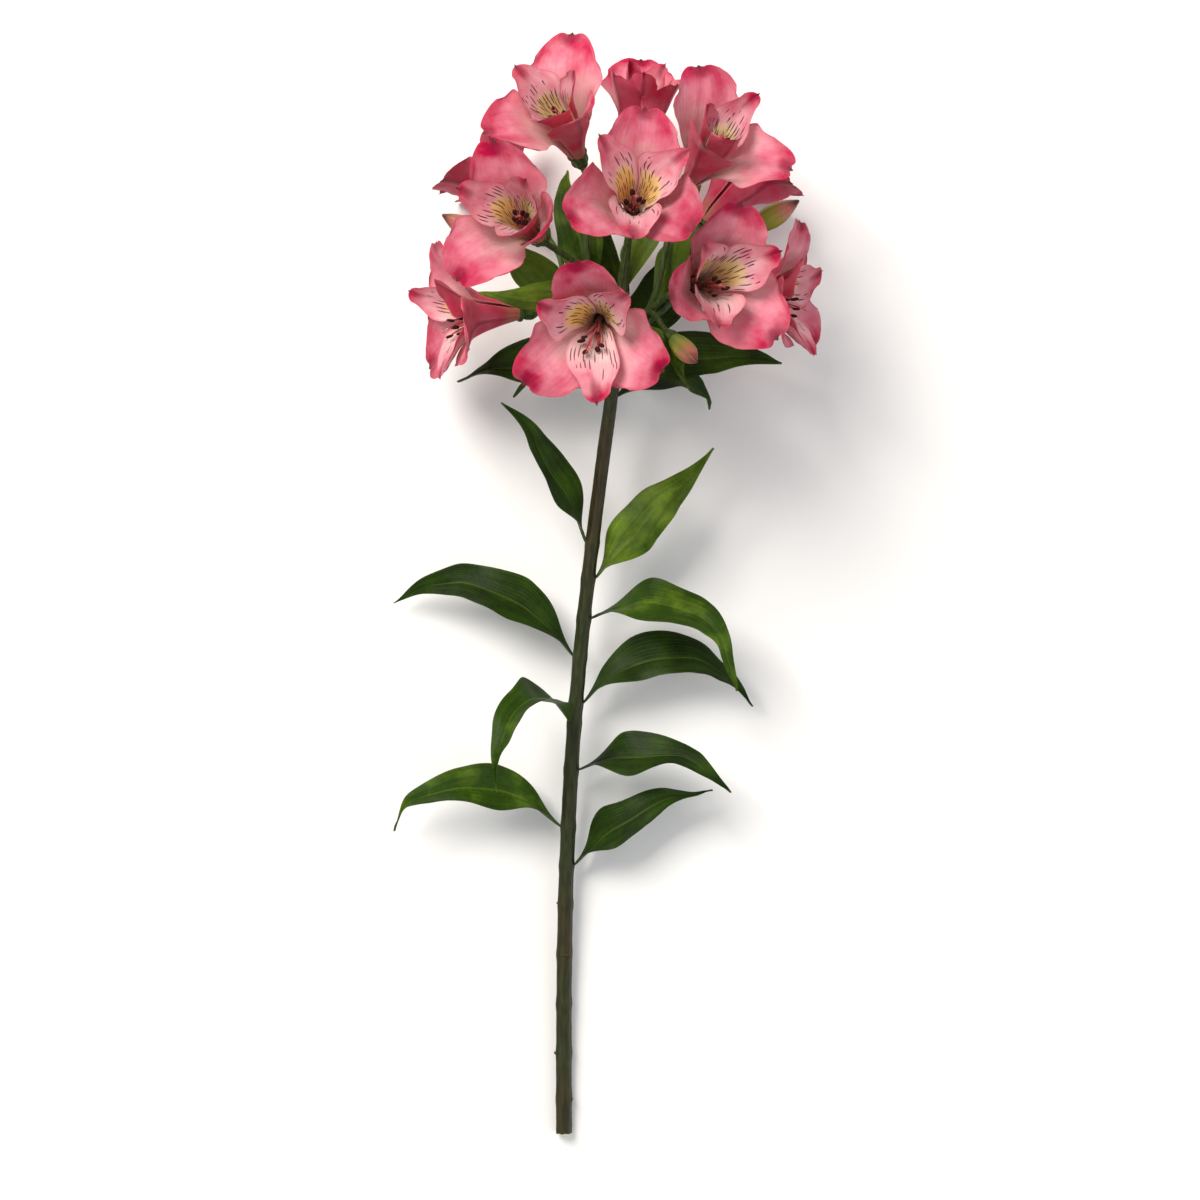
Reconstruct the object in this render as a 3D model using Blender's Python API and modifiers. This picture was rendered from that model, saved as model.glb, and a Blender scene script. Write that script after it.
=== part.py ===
# One cut alstroemeria stem, lying on a surface at its real size.
# +Y runs from the cut end to the flower head, +Z is up, and the surface is z = 0.
# The stem forks at a whorl into five rays. Each ray forks again and carries open blooms or buds.

import math

import bmesh
import bpy
from mathutils import Matrix, Vector

MM = 0.001

# Main stem, from the cut end to the whorl
CUT_END = Vector((-20, -249, 0)) * MM
WHORL = Vector((4, 103, 44)) * MM
STEM_BOW = -8 * MM
STEM_RISE_POWER = 1.6
STEM_RADIUS_CUT = 3.6 * MM
STEM_RADIUS_TOP = 2.9 * MM
WHORL_RADIUS = 4.2 * MM

# Rays, pedicels and ovaries
RAY_RADIUS = 1.9 * MM
PEDICEL_RADIUS = 1.35 * MM
FORK_RADIUS = 2.3 * MM
RAY_SHARE = 0.52
BRACT_SHARE = 0.35
OVARY_LENGTH = 9 * MM
OVARY_RADIUS = 3.7 * MM
GAP = 0.3 * MM

# Blooms, measured along the axis from the top of the ovary
CORE_HEIGHT = 2.0 * MM
CORE_RADIUS = 4.5 * MM
TEPAL_ROOT = 1.0 * MM
TEPAL_THICKNESS = 0.75 * MM
OUTER_ROWS = (0, 0.22, 0.45, 0.66, 0.84, 1)
INNER_ROWS = (0, 0.27, 0.54, 0.79, 1)
TEPAL_MOST_WRAP = math.radians(50)
SPINE_STEPS = 40
TIP_ROOM = 1 * MM
FLOOR_YIELD = 8 * MM
LAYER_LEAN = math.radians(9)
BLOOM_MIDDLE = 24 * MM
NEIGHBOUR_GAP = 0.75 * MM
FLOOR_SINK = 0.3 * MM
PRESS_SOFTNESS = 3 * MM

# Stamens and style
STAMEN_ROOT_RADIUS = 1.3 * MM
STAMEN_ROOT_HEIGHT = 1.3 * MM
STAMEN_RING = 0.85 * MM
FILAMENT_RADIUS = 0.42 * MM
STAMEN_REACH = 29 * MM
STAMEN_DROOP = 5 * MM
STAMEN_INSET = 6 * MM
ANTHER_LENGTH = 4.6 * MM
ANTHER_RADIUS = 1.0 * MM

# Leaves
LEAF_THICKNESS = 0.75 * MM
LEAF_COLUMNS = 2
LEAF_ROWS = 8
BRACT_ROWS = 5
PETIOLE_HALF_WIDTH = 1.3 * MM
LEAF_TIP_HALF_WIDTH = 0.5 * MM

# The six tepals of a bloom. clock is the angle from twelve o'clock, which points towards the head's end.
# flare gives the slope away from the bloom's axis at the root and at the tip, in degrees.
# The last number of a tepal is how far it keeps inside the ones that lie over it, in mm.
OUTER = dict(length=46, half_width=15.5, claw=1.9, root_radius=3.4, flare=(12, 90), narrow=0.34,
             shoulder=9.5, notch=2.4, cup=1.6, columns=4, rows=OUTER_ROWS)
INNER_UPPER = dict(length=44, half_width=9.0, claw=1.15, root_radius=2.1, flare=(6, 58), narrow=0.78,
                   shoulder=3.0, notch=0.0, cup=0.8, columns=2, rows=INNER_ROWS)
INNER_LOWER = dict(length=45, half_width=10.0, claw=1.15, root_radius=2.1, flare=(6, 74), narrow=0.74,
                   shoulder=3.0, notch=0.0, cup=0.8, columns=2, rows=INNER_ROWS)
TEPALS = (
    (0, OUTER, 0.0),
    (124, OUTER, 0.6),
    (-124, OUTER, 1.2),
    (52, INNER_UPPER, 2.4),
    (-52, INNER_UPPER, 3.3),
    (180, INNER_LOWER, 3.6),
)

# Open blooms: ray, place of the ovary's top from the whorl in mm, facing direction, turn of twelve
# o'clock away from +Y in degrees, openness and size
BLOOMS = (
    dict(ray="left", base=(-42, 20, -1), face=(-0.92, -0.10, 0.37), roll=-6, open=1.0, size=1.12),
    dict(ray="left", base=(-36, 60, -15), face=(-0.64, 0.74, -0.14), roll=4, open=0.92, size=1.08),
    dict(ray="front_left", base=(-34, 48, 40), face=(-0.24, 0.12, 0.96), roll=-14, open=1.0, size=1.22),
    dict(ray="front_left", base=(-17, 84, 31), face=(-0.24, 0.44, 0.87), roll=5, open=0.98, size=1.18),
    dict(ray="front", base=(-7, 13, 46), face=(-0.12, -0.26, 0.96), roll=-5, open=1.0, size=1.2),
    dict(ray="front", base=(6, 54, 54), face=(0.06, 0.20, 0.98), roll=7, open=1.0, size=1.22),
    dict(ray="front_right", base=(32, 27, 41), face=(0.28, -0.04, 0.96), roll=12, open=1.0, size=1.2),
    dict(ray="front_right", base=(31, 72, 31), face=(0.32, 0.40, 0.86), roll=-8, open=0.98, size=1.16),
    dict(ray="right", base=(46, 25, 0), face=(0.94, 0.02, 0.34), roll=8, open=1.0, size=1.12),
    dict(ray="right", base=(37, 60, -15.5), face=(0.66, 0.74, -0.12), roll=-4, open=0.92, size=1.1),
    dict(ray="back", base=(8, 82, 6), face=(0.05, 0.80, 0.60), roll=3, open=0.9, size=1.1),
)

# Closed buds: ray, place of the ovary's top, direction, length and radius in mm
BUDS = (
    dict(ray="left", base=(-57, 50, 16), face=(-0.84, 0.42, 0.34), length=22, radius=4.8),
    dict(ray="front_right", base=(25, 4, 33), face=(0.42, -0.52, 0.74), length=20, radius=4.6),
    dict(ray="right", base=(60, 55, 19), face=(0.84, 0.46, 0.30), length=22, radius=5.0),
)

# Leaves of the whorl and the stem. at is the distance from the cut end along the stem's run, around is
# the side of the stem (0 right, 90 up, 180 left), rise gives the angle from the stem at base and tip.
WHORL_LEAVES = (
    dict(at=0.972, around=6, length=74, half_width=11.5, rise=(58, 98), sweep=0, twist=58, wave=2.0),
    dict(at=0.975, around=302, length=96, half_width=12.5, rise=(30, 55), sweep=0, twist=30, wave=1.4),
    dict(at=0.975, around=232, length=96, half_width=12.5, rise=(26, 20), sweep=0, twist=-30, wave=1.4),
    dict(at=0.968, around=186, length=70, half_width=11.5, rise=(76, 122), sweep=0, twist=-56, wave=2.0),
    dict(at=0.948, around=220, length=60, half_width=9.5, rise=(62, 134), sweep=0, twist=-30, wave=1.5),
    dict(at=0.950, around=-34, length=62, half_width=9.5, rise=(60, 124), sweep=0, twist=34, wave=1.5),
)
STEM_LEAVES = (
    dict(at=0.350, around=8, length=74, half_width=9.0, rise=(42, 74), sweep=0, twist=62, wave=1.8),
    dict(at=0.400, around=170, length=92, half_width=10.0, rise=(52, 128), sweep=0, twist=-56, wave=2.2),
    dict(at=0.475, around=20, length=80, half_width=9.5, rise=(62, 116), sweep=0, twist=50, wave=2.2),
    dict(at=0.535, around=118, length=92, half_width=11.0, rise=(46, 176), sweep=-8, twist=-10, wave=1.6),
    dict(at=0.560, around=-2, length=96, half_width=10.5, rise=(36, 142), sweep=0, twist=56, wave=2.2),
    dict(at=0.620, around=188, length=98, half_width=11.0, rise=(44, 112), sweep=0, twist=-64, wave=2.4),
    dict(at=0.670, around=26, length=92, half_width=11.0, rise=(58, 150), sweep=0, twist=44, wave=2.0),
    dict(at=0.720, around=-4, length=80, half_width=11.5, rise=(34, 40), sweep=0, twist=64, wave=2.0),
    dict(at=0.765, around=166, length=74, half_width=9.5, rise=(26, 46), sweep=0, twist=-58, wave=1.8),
)

# Leafy bracts where the rays fork. side is the way they leave their ray.
BRACTS = (
    dict(ray="front_left", side=(0.03, 0.44, -0.90), length=62, half_width=10, rise=(22, 60)),
    dict(ray="front", side=(-1.0, 0.04, -0.06), length=62, half_width=10, rise=(60, 95)),
    dict(ray="left", side=(-0.04, 0.04, 1.0), length=62, half_width=10, rise=(30, 45)),
    dict(ray="right", side=(-0.48, 0.57, 0.67), length=62, half_width=10, rise=(40, 20)),
    dict(ray="front_right", side=(0.30, -0.78, 0.55), length=50, half_width=9, rise=(60, 95)),
    dict(ray="back", side=(0.58, -0.07, -0.81), length=62, half_width=10, rise=(30, 45)),
)

GREEN_STEM = dict(name="stem green", colour=(0.10, 0.16, 0.03), roughness=0.5)
GREEN_LEAF = dict(name="leaf green", colour=(0.06, 0.17, 0.02), roughness=0.45)
PINK_TEPAL = dict(name="tepal pink", colour=(0.75, 0.16, 0.22), roughness=0.5)
BUD_TONE = dict(name="bud pink and green", colour=(0.55, 0.30, 0.16), roughness=0.5)
STAMEN_TONE = dict(name="stamen red", colour=(0.45, 0.07, 0.07), roughness=0.5)


# Small helpers

def smooth(low, high, value):
    share = min(1.0, max(0.0, (value - low) / (high - low)))
    return share * share * (3 - 2 * share)


def mix(a, b, share):
    return a + (b - a) * share


def material(tone):
    found = bpy.data.materials.get(tone["name"])
    if found:
        return found
    made = bpy.data.materials.new(tone["name"])
    made.use_nodes = True
    shader = made.node_tree.nodes["Principled BSDF"]
    shader.inputs["Base Color"].default_value = (*tone["colour"], 1)
    shader.inputs["Roughness"].default_value = tone["roughness"]
    shader.inputs["Metallic"].default_value = 0
    return made


def new_collection(name, shown=True):
    made = bpy.data.collections.new(name)
    bpy.context.scene.collection.children.link(made)
    made.hide_render = not shown
    return made


def object_of(mesh, name, home):
    made = bpy.data.objects.new(name, mesh)
    home.objects.link(made)
    return made


def finish(made, tone):
    made.data.materials.clear()
    made.data.materials.append(material(tone))
    made.data.shade_smooth()
    made.data.set_sharp_from_angle(angle=math.radians(50))
    return made


# The object's own evaluated mesh, with its caps welded, in place of a curve or of live modifiers
def baked(source, home):
    name = source.name
    graph = bpy.context.evaluated_depsgraph_get()
    mesh = bpy.data.meshes.new_from_object(source.evaluated_get(graph))
    made = object_of(mesh, name + "_mesh", home)
    made.matrix_world = source.matrix_world.copy()
    bpy.data.objects.remove(source)
    made.name = name
    shape = bmesh.new()
    shape.from_mesh(mesh)
    bmesh.ops.remove_doubles(shape, verts=shape.verts, dist=0.000001)
    bmesh.ops.triangulate(shape, faces=shape.faces, quad_method="FIXED")
    shape.to_mesh(mesh)
    shape.free()
    return made


# Everything in pieces becomes one body with core
def fused(core, pieces, name, home, solver="EXACT"):
    group = bpy.data.collections.new(name + " repeats")
    bpy.context.scene.collection.children.link(group)
    for piece in pieces:
        for owner in piece.users_collection:
            owner.objects.unlink(piece)
        group.objects.link(piece)
    join = core.modifiers.new("join repeats", "BOOLEAN")
    join.operation = "UNION"
    join.operand_type = "COLLECTION"
    join.collection = group
    join.solver = solver
    core.name = name
    bpy.context.view_layer.update()
    made = baked(core, home)
    for piece in pieces:
        bpy.data.objects.remove(piece)
    bpy.data.collections.remove(group)
    return made


# A tube along points with a radius for each of them
def tube(name, points, radii, sides, home):
    curve = bpy.data.curves.new(name, "CURVE")
    curve.dimensions = "3D"
    curve.bevel_depth = 1
    curve.bevel_resolution = (sides - 4) // 2
    curve.use_fill_caps = True
    spline = curve.splines.new("POLY")
    spline.points.add(len(points) - 1)
    for place, radius, point in zip(points, radii, spline.points):
        point.co = (*place, 1)
        point.radius = radius
    return baked(object_of(curve, name, home), home)


def tapered(first_radius, last_radius, count):
    return [mix(first_radius, last_radius, number / (count - 1)) for number in range(count)]


def curve_points(start, start_pull, end_pull, end, count):
    points = []
    for number in range(count):
        t = number / (count - 1)
        points.append(
            start * (1 - t) ** 3
            + start_pull * 3 * t * (1 - t) ** 2
            + end_pull * 3 * t * t * (1 - t)
            + end * t ** 3
        )
    return points


def knob(name, centre, radius, home):
    shape = bmesh.new()
    bmesh.ops.create_icosphere(shape, subdivisions=1, radius=radius)
    bmesh.ops.translate(shape, verts=shape.verts, vec=centre)
    mesh = bpy.data.meshes.new(name)
    shape.to_mesh(mesh)
    shape.free()
    return object_of(mesh, name, home)


# A closed turned shape: stations are (distance along the axis, radius)
def turned(name, base, axis, up, stations, sides, home):
    frame = frame_of(axis, up)
    shape = bmesh.new()
    rings = []
    for along, radius in stations:
        made = bmesh.ops.create_circle(shape, segments=sides, radius=radius)
        for vertex in made["verts"]:
            local = Vector((vertex.co.x, vertex.co.y, along))
            vertex.co = base + frame @ local
        rings.append(made["verts"])
    for lower, upper in zip(rings, rings[1:]):
        for number in range(sides):
            after = (number + 1) % sides
            shape.faces.new((lower[number], lower[after], upper[after], upper[number]))
    shape.faces.new(reversed(rings[0]))
    shape.faces.new(rings[-1])
    bmesh.ops.recalc_face_normals(shape, faces=shape.faces)
    bmesh.ops.triangulate(shape, faces=shape.faces)
    mesh = bpy.data.meshes.new(name)
    shape.to_mesh(mesh)
    shape.free()
    return object_of(mesh, name, home)


# Axes of a bloom: X is twelve o'clock, Z looks out of the face
def frame_of(axis, up):
    z = axis.normalized()
    x = (up - z * up.dot(z)).normalized()
    y = z.cross(x)
    return Matrix((x, y, z)).transposed()


# The main stem's run

def stem_point(share):
    across = mix(CUT_END.x, WHORL.x, share) + STEM_BOW * math.sin(math.pi * share)
    along = mix(CUT_END.y, WHORL.y, share)
    height = STEM_RADIUS_CUT * math.cos(math.pi / 10)
    up = height + (WHORL.z - height) * share ** STEM_RISE_POWER
    return Vector((across, along, up))


def stem_tangent(share):
    step = 0.01
    return (stem_point(share + step) - stem_point(share - step)).normalized()


def stem_radius(share):
    return mix(STEM_RADIUS_CUT, STEM_RADIUS_TOP, share)


# Blades: leaves, bracts and tepals grow along a spine.
# A wall is (point, outward direction, gap, free): a blade is pressed back to its inner side.
# The blade's own inset counts towards a wall only beyond its free part.

def room_to(wall, place, inset):
    point, outward, gap, free = wall
    return (point - place).dot(outward) - gap - max(0, inset - free)


def room(place, walls, inset):
    return min(room_to(wall, place, inset) for wall in walls)


def pressed(place, walls, inset):
    for wall in walls:
        inside = room_to(wall, place, inset)
        if inside < PRESS_SOFTNESS:
            kept = PRESS_SOFTNESS * math.exp((inside - PRESS_SOFTNESS) / PRESS_SOFTNESS)
            place = place + wall[1] * (inside - kept)
    return place


def spine(start, axis, outward, angle_at, turn_at, length):
    place = start.copy()
    side = axis.cross(outward).normalized()
    stations = []
    for number in range(SPINE_STEPS + 1):
        share = number / SPINE_STEPS
        angle = angle_at(share)
        direction = axis * math.cos(angle) + outward * math.sin(angle)
        sweep, twist = turn_at(share)
        face = direction.cross(side).normalized()
        direction = Matrix.Rotation(sweep, 3, face) @ direction
        across = Matrix.Rotation(twist, 3, direction) @ side
        across = (across - direction * across.dot(direction)).normalized()
        stations.append((place.copy(), direction, across, direction.cross(across)))
        place = place + direction * (length / SPINE_STEPS)
    return stations


def station_at(stations, share):
    whole = min(SPINE_STEPS - 1, int(share * SPINE_STEPS))
    part = share * SPINE_STEPS - whole
    before, after = stations[whole], stations[whole + 1]
    place, along, across, face = (mix(a, b, part) for a, b in zip(before, after))
    return place, along.normalized(), across.normalized(), face.normalized()


# A thin solid blade: a grid moved on to its surface, then given its thickness
def blade(name, point_at, columns, rows, thickness, home):
    shape = bmesh.new()
    bmesh.ops.create_grid(shape, x_segments=columns, y_segments=len(rows) - 1, size=1)
    for vertex in shape.verts:
        row = round((vertex.co.y + 1) / 2 * (len(rows) - 1))
        vertex.co = point_at(vertex.co.x, rows[row])
    bmesh.ops.triangulate(shape, faces=shape.faces, quad_method="FIXED")
    mesh = bpy.data.meshes.new(name)
    shape.to_mesh(mesh)
    shape.free()
    made = object_of(mesh, name, home)
    thick = made.modifiers.new("thickness", "SOLIDIFY")
    thick.thickness = thickness
    thick.offset = 0
    made = baked(made, home)
    for vertex in made.data.vertices:
        vertex.co.z = max(vertex.co.z, 0)
    return made


FLOOR = (Vector((0, 0, 0)), Vector((0, 0, -1)), TEPAL_THICKNESS / 2 - FLOOR_SINK, 1.2 * MM)


# Blooms

# Twelve o'clock of a bloom or bud, before it is squared to its axis
def up_of(spec):
    turn = math.radians(spec.get("roll", 0))
    return Vector((math.sin(turn), math.cos(turn), 0))


def bloom_middle(bloom):
    return WHORL + Vector(bloom["base"]) * MM + Vector(bloom["face"]).normalized() * BLOOM_MIDDLE


# One wall halfway to each other bloom, and the surface below
def bloom_walls(bloom):
    walls = [FLOOR]
    middle = bloom_middle(bloom)
    for other in BLOOMS:
        if other is not bloom:
            between = bloom_middle(other) - middle
            walls.append((middle + between / 2, between.normalized(), NEIGHBOUR_GAP, 0))
    return walls


def tepal_half_width(kind, share):
    broad = smooth(0.12, 0.70, share) * (1 - kind["narrow"] * smooth(0.74, 1.0, share))
    return mix(kind["claw"], kind["half_width"], broad) * MM


def tepal_outward(bloom, clock):
    frame = frame_of(Vector(bloom["face"]), up_of(bloom))
    angle = math.radians(clock)
    return frame @ Vector((math.cos(angle), math.sin(angle), 0))


def tepal_spine(bloom, clock, kind, last):
    base = WHORL + Vector(bloom["base"]) * MM
    axis = Vector(bloom["face"]).normalized()
    outward = tepal_outward(bloom, clock)
    first = math.radians(kind["flare"][0])
    return spine(
        base + axis * TEPAL_ROOT + outward * kind["root_radius"] * MM,
        axis,
        outward,
        lambda share: mix(first, last, share ** 1.6),
        lambda share: (0, 0),
        kind["length"] * bloom["size"] * MM,
    )


# Each tepal opens as far as the walls allow, and an inner one no further than the outer ones beside it
def tepal_flares(bloom, walls):
    flares = {}
    point, down, gap, free = FLOOR
    walls = [(point + down * FLOOR_YIELD, down, gap, free), *walls[1:]]
    for clock, kind, inset in TEPALS:
        last = math.radians(mix(kind["flare"][0], kind["flare"][1], bloom["open"]))
        if kind is not OUTER:
            beside = [
                flares[other] - LAYER_LEAN
                for other, found, _ in TEPALS
                if found is OUTER and math.cos(math.radians(other - clock)) > 0.2
            ]
            last = min([last, *beside])
        while last > math.radians(16):
            stations = tepal_spine(bloom, clock, kind, last)
            if min(room(station[0], walls, inset * MM) for station in stations) > TIP_ROOM:
                break
            last -= math.radians(2)
        flares[clock] = last
    return flares


def tepal(name, bloom, clock, kind, inset, last, walls, home):
    base = WHORL + Vector(bloom["base"]) * MM
    axis = Vector(bloom["face"]).normalized()
    size = bloom["size"]
    stations = tepal_spine(bloom, clock, kind, last)

    def point_at(across, share):
        back = kind["shoulder"] * abs(across) ** 2.4 * smooth(0.55, 1, share)
        back += kind["notch"] * math.exp(-((across / 0.24) ** 2)) * smooth(0.82, 1, share)
        place, along, side, face = station_at(stations, share - back / kind["length"])
        half_width = tepal_half_width(kind, share) * size
        from_axis = place - base
        reach = (from_axis - axis * from_axis.dot(axis)).length
        tilt = max(0.05, along.dot(axis))
        wrap = math.atan(math.tan(TEPAL_MOST_WRAP) * tilt)
        arc = across * min(half_width * tilt / reach, wrap)
        place = place + (side * math.sin(arc) + face * (1 - math.cos(arc))) * reach / tilt
        place = place + face * kind["cup"] * MM * across * across * smooth(0.5, 0.9, share)
        return pressed(place, walls, inset * MM)

    return blade(name, point_at, kind["columns"], kind["rows"], TEPAL_THICKNESS, home)


def bloom_tepals(name, bloom, home, work):
    base = WHORL + Vector(bloom["base"]) * MM
    axis = Vector(bloom["face"])
    walls = bloom_walls(bloom)
    stations = ((GAP, CORE_RADIUS * 0.95), (GAP + CORE_HEIGHT, CORE_RADIUS))
    core = turned(name, base, axis, up_of(bloom), stations, 10, work)
    flares = tepal_flares(bloom, walls)
    pieces = [
        tepal(f"{name} blade {number}", bloom, clock, kind, inset, flares[clock], walls, work)
        for number, (clock, kind, inset) in enumerate(TEPALS)
    ]
    return finish(fused(core, pieces, name, home), PINK_TEPAL)


# Six stamens and the style leave one small disc and bend towards six o'clock.
# Each stamen is one tube that swells into its anther.
def bloom_stamens(name, bloom, home, work):
    base = WHORL + Vector(bloom["base"]) * MM
    axis = Vector(bloom["face"]).normalized()
    frame = frame_of(axis, up_of(bloom))
    walls = bloom_walls(bloom)
    size = bloom["size"]
    droop = STAMEN_DROOP * tepal_flares(bloom, walls)[180] / math.radians(INNER_LOWER["flare"][1])
    foot = CORE_HEIGHT + 2 * GAP
    stations = ((foot, STAMEN_ROOT_RADIUS), (foot + STAMEN_ROOT_HEIGHT, STAMEN_ROOT_RADIUS))
    root = turned(name, base, axis, up_of(bloom), stations, 6, work)

    def place_at(across, out, height):
        return base + frame @ Vector((across, out, height))

    pieces = []
    for number in range(7):
        around = math.radians(60 * number + 30)
        ring = STAMEN_RING if number < 6 else 0
        x, y = math.cos(around) * ring, math.sin(around) * ring
        top = STAMEN_REACH * size * (1 - 0.1 * (number % 2) if number < 6 else 1.08)
        start = place_at(x, y, foot + STAMEN_ROOT_HEIGHT / 2)
        start_pull = place_at(x, y, top * 0.5)
        end_pull = place_at(x * 2 - droop * 0.4, y * 2, top * 0.7)
        end = place_at(x * 2.4 - droop, y * 2.8, top)
        points = curve_points(start, start_pull, end_pull, end, 4)
        points = [pressed(point, walls, STAMEN_INSET) for point in points]
        points.pop(1)
        radii = [FILAMENT_RADIUS] * 3
        if number < 6:
            onward = (points[-1] - points[-2]).normalized() * ANTHER_LENGTH
            points[-1:] = [points[-1] - onward * 0.5, points[-1], points[-1] + onward * 0.5]
            radii[-1:] = [FILAMENT_RADIUS, ANTHER_RADIUS, ANTHER_RADIUS * 0.45]
        pieces.append(tube(f"{name} filament {number}", points, radii, 4, work))
    return finish(fused(root, pieces, name, home), STAMEN_TONE)


def bud(name, spec, home):
    base = WHORL + Vector(spec["base"]) * MM
    length, radius = spec["length"] * MM, spec["radius"] * MM
    shares = ((0, 0.72), (0.16, 0.90), (0.38, 1.0), (0.60, 0.92), (0.80, 0.62), (0.94, 0.30), (1, 0.10))
    stations = [(GAP + share * length, radius * wide) for share, wide in shares]
    made = turned(name, base, Vector(spec["face"]), up_of(spec), stations, 9, home)
    return finish(made, BUD_TONE)


# The green frame: stem, whorl, rays, pedicels and ovaries

def ovary_foot(spec):
    return WHORL + Vector(spec["base"]) * MM - Vector(spec["face"]).normalized() * OVARY_LENGTH


def ray_members(ray):
    return [spec for spec in BLOOMS + BUDS if spec["ray"] == ray]


# The fork lies part of the way from the whorl to the middle of the ovaries that the ray carries
def ray_fork(ray):
    members = ray_members(ray)
    middle = sum((ovary_foot(spec) for spec in members), Vector()) / len(members)
    return mix(WHORL, middle, RAY_SHARE)


def ray_path(ray):
    fork = ray_fork(ray)
    run = fork - WHORL
    forwards = stem_tangent(0.99)
    start = WHORL - forwards * 1.5 * MM
    return curve_points(start, WHORL + (forwards + run.normalized()) * run.length * 0.22,
                        fork - run * 0.35, fork, 4)


# A pedicel swells into its ovary, whose flat top carries the bloom
def pedicel(name, spec, home):
    small = 1.0 if spec in BLOOMS else 0.78
    fork = ray_fork(spec["ray"])
    foot = ovary_foot(spec)
    axis = Vector(spec["face"]).normalized()
    run = foot - fork
    before = (fork - WHORL).normalized()
    points = curve_points(fork, fork + (before + run.normalized()) * run.length * 0.2,
                          foot - axis * run.length * 0.4, foot, 4)
    points += [foot + axis * OVARY_LENGTH * share for share in (0.45, 1)]
    radii = [PEDICEL_RADIUS] * 4 + [OVARY_RADIUS * small, OVARY_RADIUS * 0.95 * small]
    return tube(name, points, radii, 6, home)


def green_frame(home, work):
    points = [stem_point(number / 12) for number in range(13)]
    core = tube("stem", points, tapered(STEM_RADIUS_CUT, STEM_RADIUS_TOP, 13), 10, work)
    pieces = [knob("whorl", WHORL, WHORL_RADIUS, work)]
    rays = dict.fromkeys(spec["ray"] for spec in BLOOMS)
    for ray in rays:
        pieces.append(tube(f"ray {ray}", ray_path(ray), tapered(RAY_RADIUS * 1.1, RAY_RADIUS, 4), 6, work))
        pieces.append(knob(f"fork {ray}", ray_fork(ray), FORK_RADIUS, work))
    for number, spec in enumerate(BLOOMS + BUDS):
        pieces.append(pedicel(f"pedicel {number}", spec, work))
    return finish(fused(core, pieces, "stem", home), GREEN_STEM)


# Leaves and bracts

def leaf_half_width(half_width, share):
    if share < 0.38:
        return mix(PETIOLE_HALF_WIDTH, half_width, smooth(0, 0.38, share) ** 0.8)
    return mix(LEAF_TIP_HALF_WIDTH, half_width, (1 - ((share - 0.38) / 0.62) ** 1.6) ** 1.2)


def leaf_blade(name, start, axis, outward, spec, home):
    first, last = (math.radians(degrees) for degrees in spec["rise"])
    sweep, twist = math.radians(spec["sweep"]), math.radians(spec["twist"])
    length = spec["length"] * MM
    stations = spine(
        start,
        axis,
        outward,
        lambda share: mix(first, last, smooth(0, 1, share) * 0.6 + share * 0.4),
        lambda share: (sweep * share ** 1.5, twist * smooth(0, 0.34, share)),
        length,
    )
    wave = spec["wave"] * MM

    def point_at(across, share):
        place, along, side, face = station_at(stations, share)
        half_width = leaf_half_width(spec["half_width"] * MM, share)
        fold = 0.22 * half_width * abs(across)
        ripple = wave * across * abs(across) * math.sin(7.5 * share + spec["twist"]) * smooth(0.1, 0.4, share)
        place = place + side * across * half_width + face * (fold + ripple * (1 - share))
        return pressed(place, [FLOOR], 0)

    count = LEAF_ROWS if length > 45 * MM else BRACT_ROWS
    rows = [number / count for number in range(count + 1)]
    made = blade(name, point_at, LEAF_COLUMNS, rows, LEAF_THICKNESS, home)
    return finish(made, GREEN_LEAF)


def stem_leaf(name, spec, home):
    share = spec["at"]
    along = stem_tangent(min(share, 0.99))
    around = math.radians(spec["around"])
    outward = Vector((math.cos(around), 0, math.sin(around)))
    outward = (outward - along * outward.dot(along)).normalized()
    off = stem_radius(share) + GAP
    rise = math.radians(spec["rise"][0])
    start = stem_point(share) + outward * (off + LEAF_THICKNESS / 2 * math.cos(rise))
    return leaf_blade(name, start, along, outward, spec, home)


# A bract leaves its ray a little before the fork
def bract(name, spec, home):
    path = ray_path(spec["ray"])
    along = (path[-1] - path[-2]).normalized()
    outward = Vector(spec["side"])
    outward = (outward - along * outward.dot(along)).normalized()
    centre = mix(path[-2], path[-1], BRACT_SHARE)
    start = centre + outward * (RAY_RADIUS * 1.05 + GAP + LEAF_THICKNESS / 2)
    shape = dict(sweep=0, twist=0, wave=0.6, **spec)
    return leaf_blade(name, start, along, outward, shape, home)


def clear_scene():
    for old in list(bpy.data.objects):
        bpy.data.objects.remove(old)


# The origin lies at the middle of the box's underside
def settle(home):
    corners = [vertex.co for made in home.objects for vertex in made.data.vertices]
    low = [min(corner[axis] for corner in corners) for axis in range(3)]
    high = [max(corner[axis] for corner in corners) for axis in range(3)]
    shift = Vector((-(low[0] + high[0]) / 2, -(low[1] + high[1]) / 2, -low[2]))
    for made in home.objects:
        made.data.transform(Matrix.Translation(shift))


def main():
    clear_scene()
    home = new_collection("alstroemeria stem")
    work = new_collection("work pieces", shown=False)
    green_frame(home, work)
    for number, spec in enumerate(BLOOMS, 1):
        bloom_tepals(f"bloom_{number}_tepals", spec, home, work)
        bloom_stamens(f"bloom_{number}_stamens", spec, home, work)
    for number, spec in enumerate(BUDS, 1):
        bud(f"bud_{number}", spec, home)
    for number, spec in enumerate(WHORL_LEAVES, 1):
        stem_leaf(f"whorl_leaf_{number}", spec, home)
    for number, spec in enumerate(STEM_LEAVES, 1):
        stem_leaf(f"stem_leaf_{number}", spec, home)
    for number, spec in enumerate(BRACTS, 1):
        bract(f"bract_{number}", spec, home)
    settle(home)


main()
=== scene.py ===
# A cut alstroemeria stem laid on a pale surface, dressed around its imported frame.
# Lengths are in millimetres until a mesh is made. The head lies towards +Y.

import math
import random
from functools import partial

import bpy
from mathutils import Matrix, Vector, noise


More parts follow.
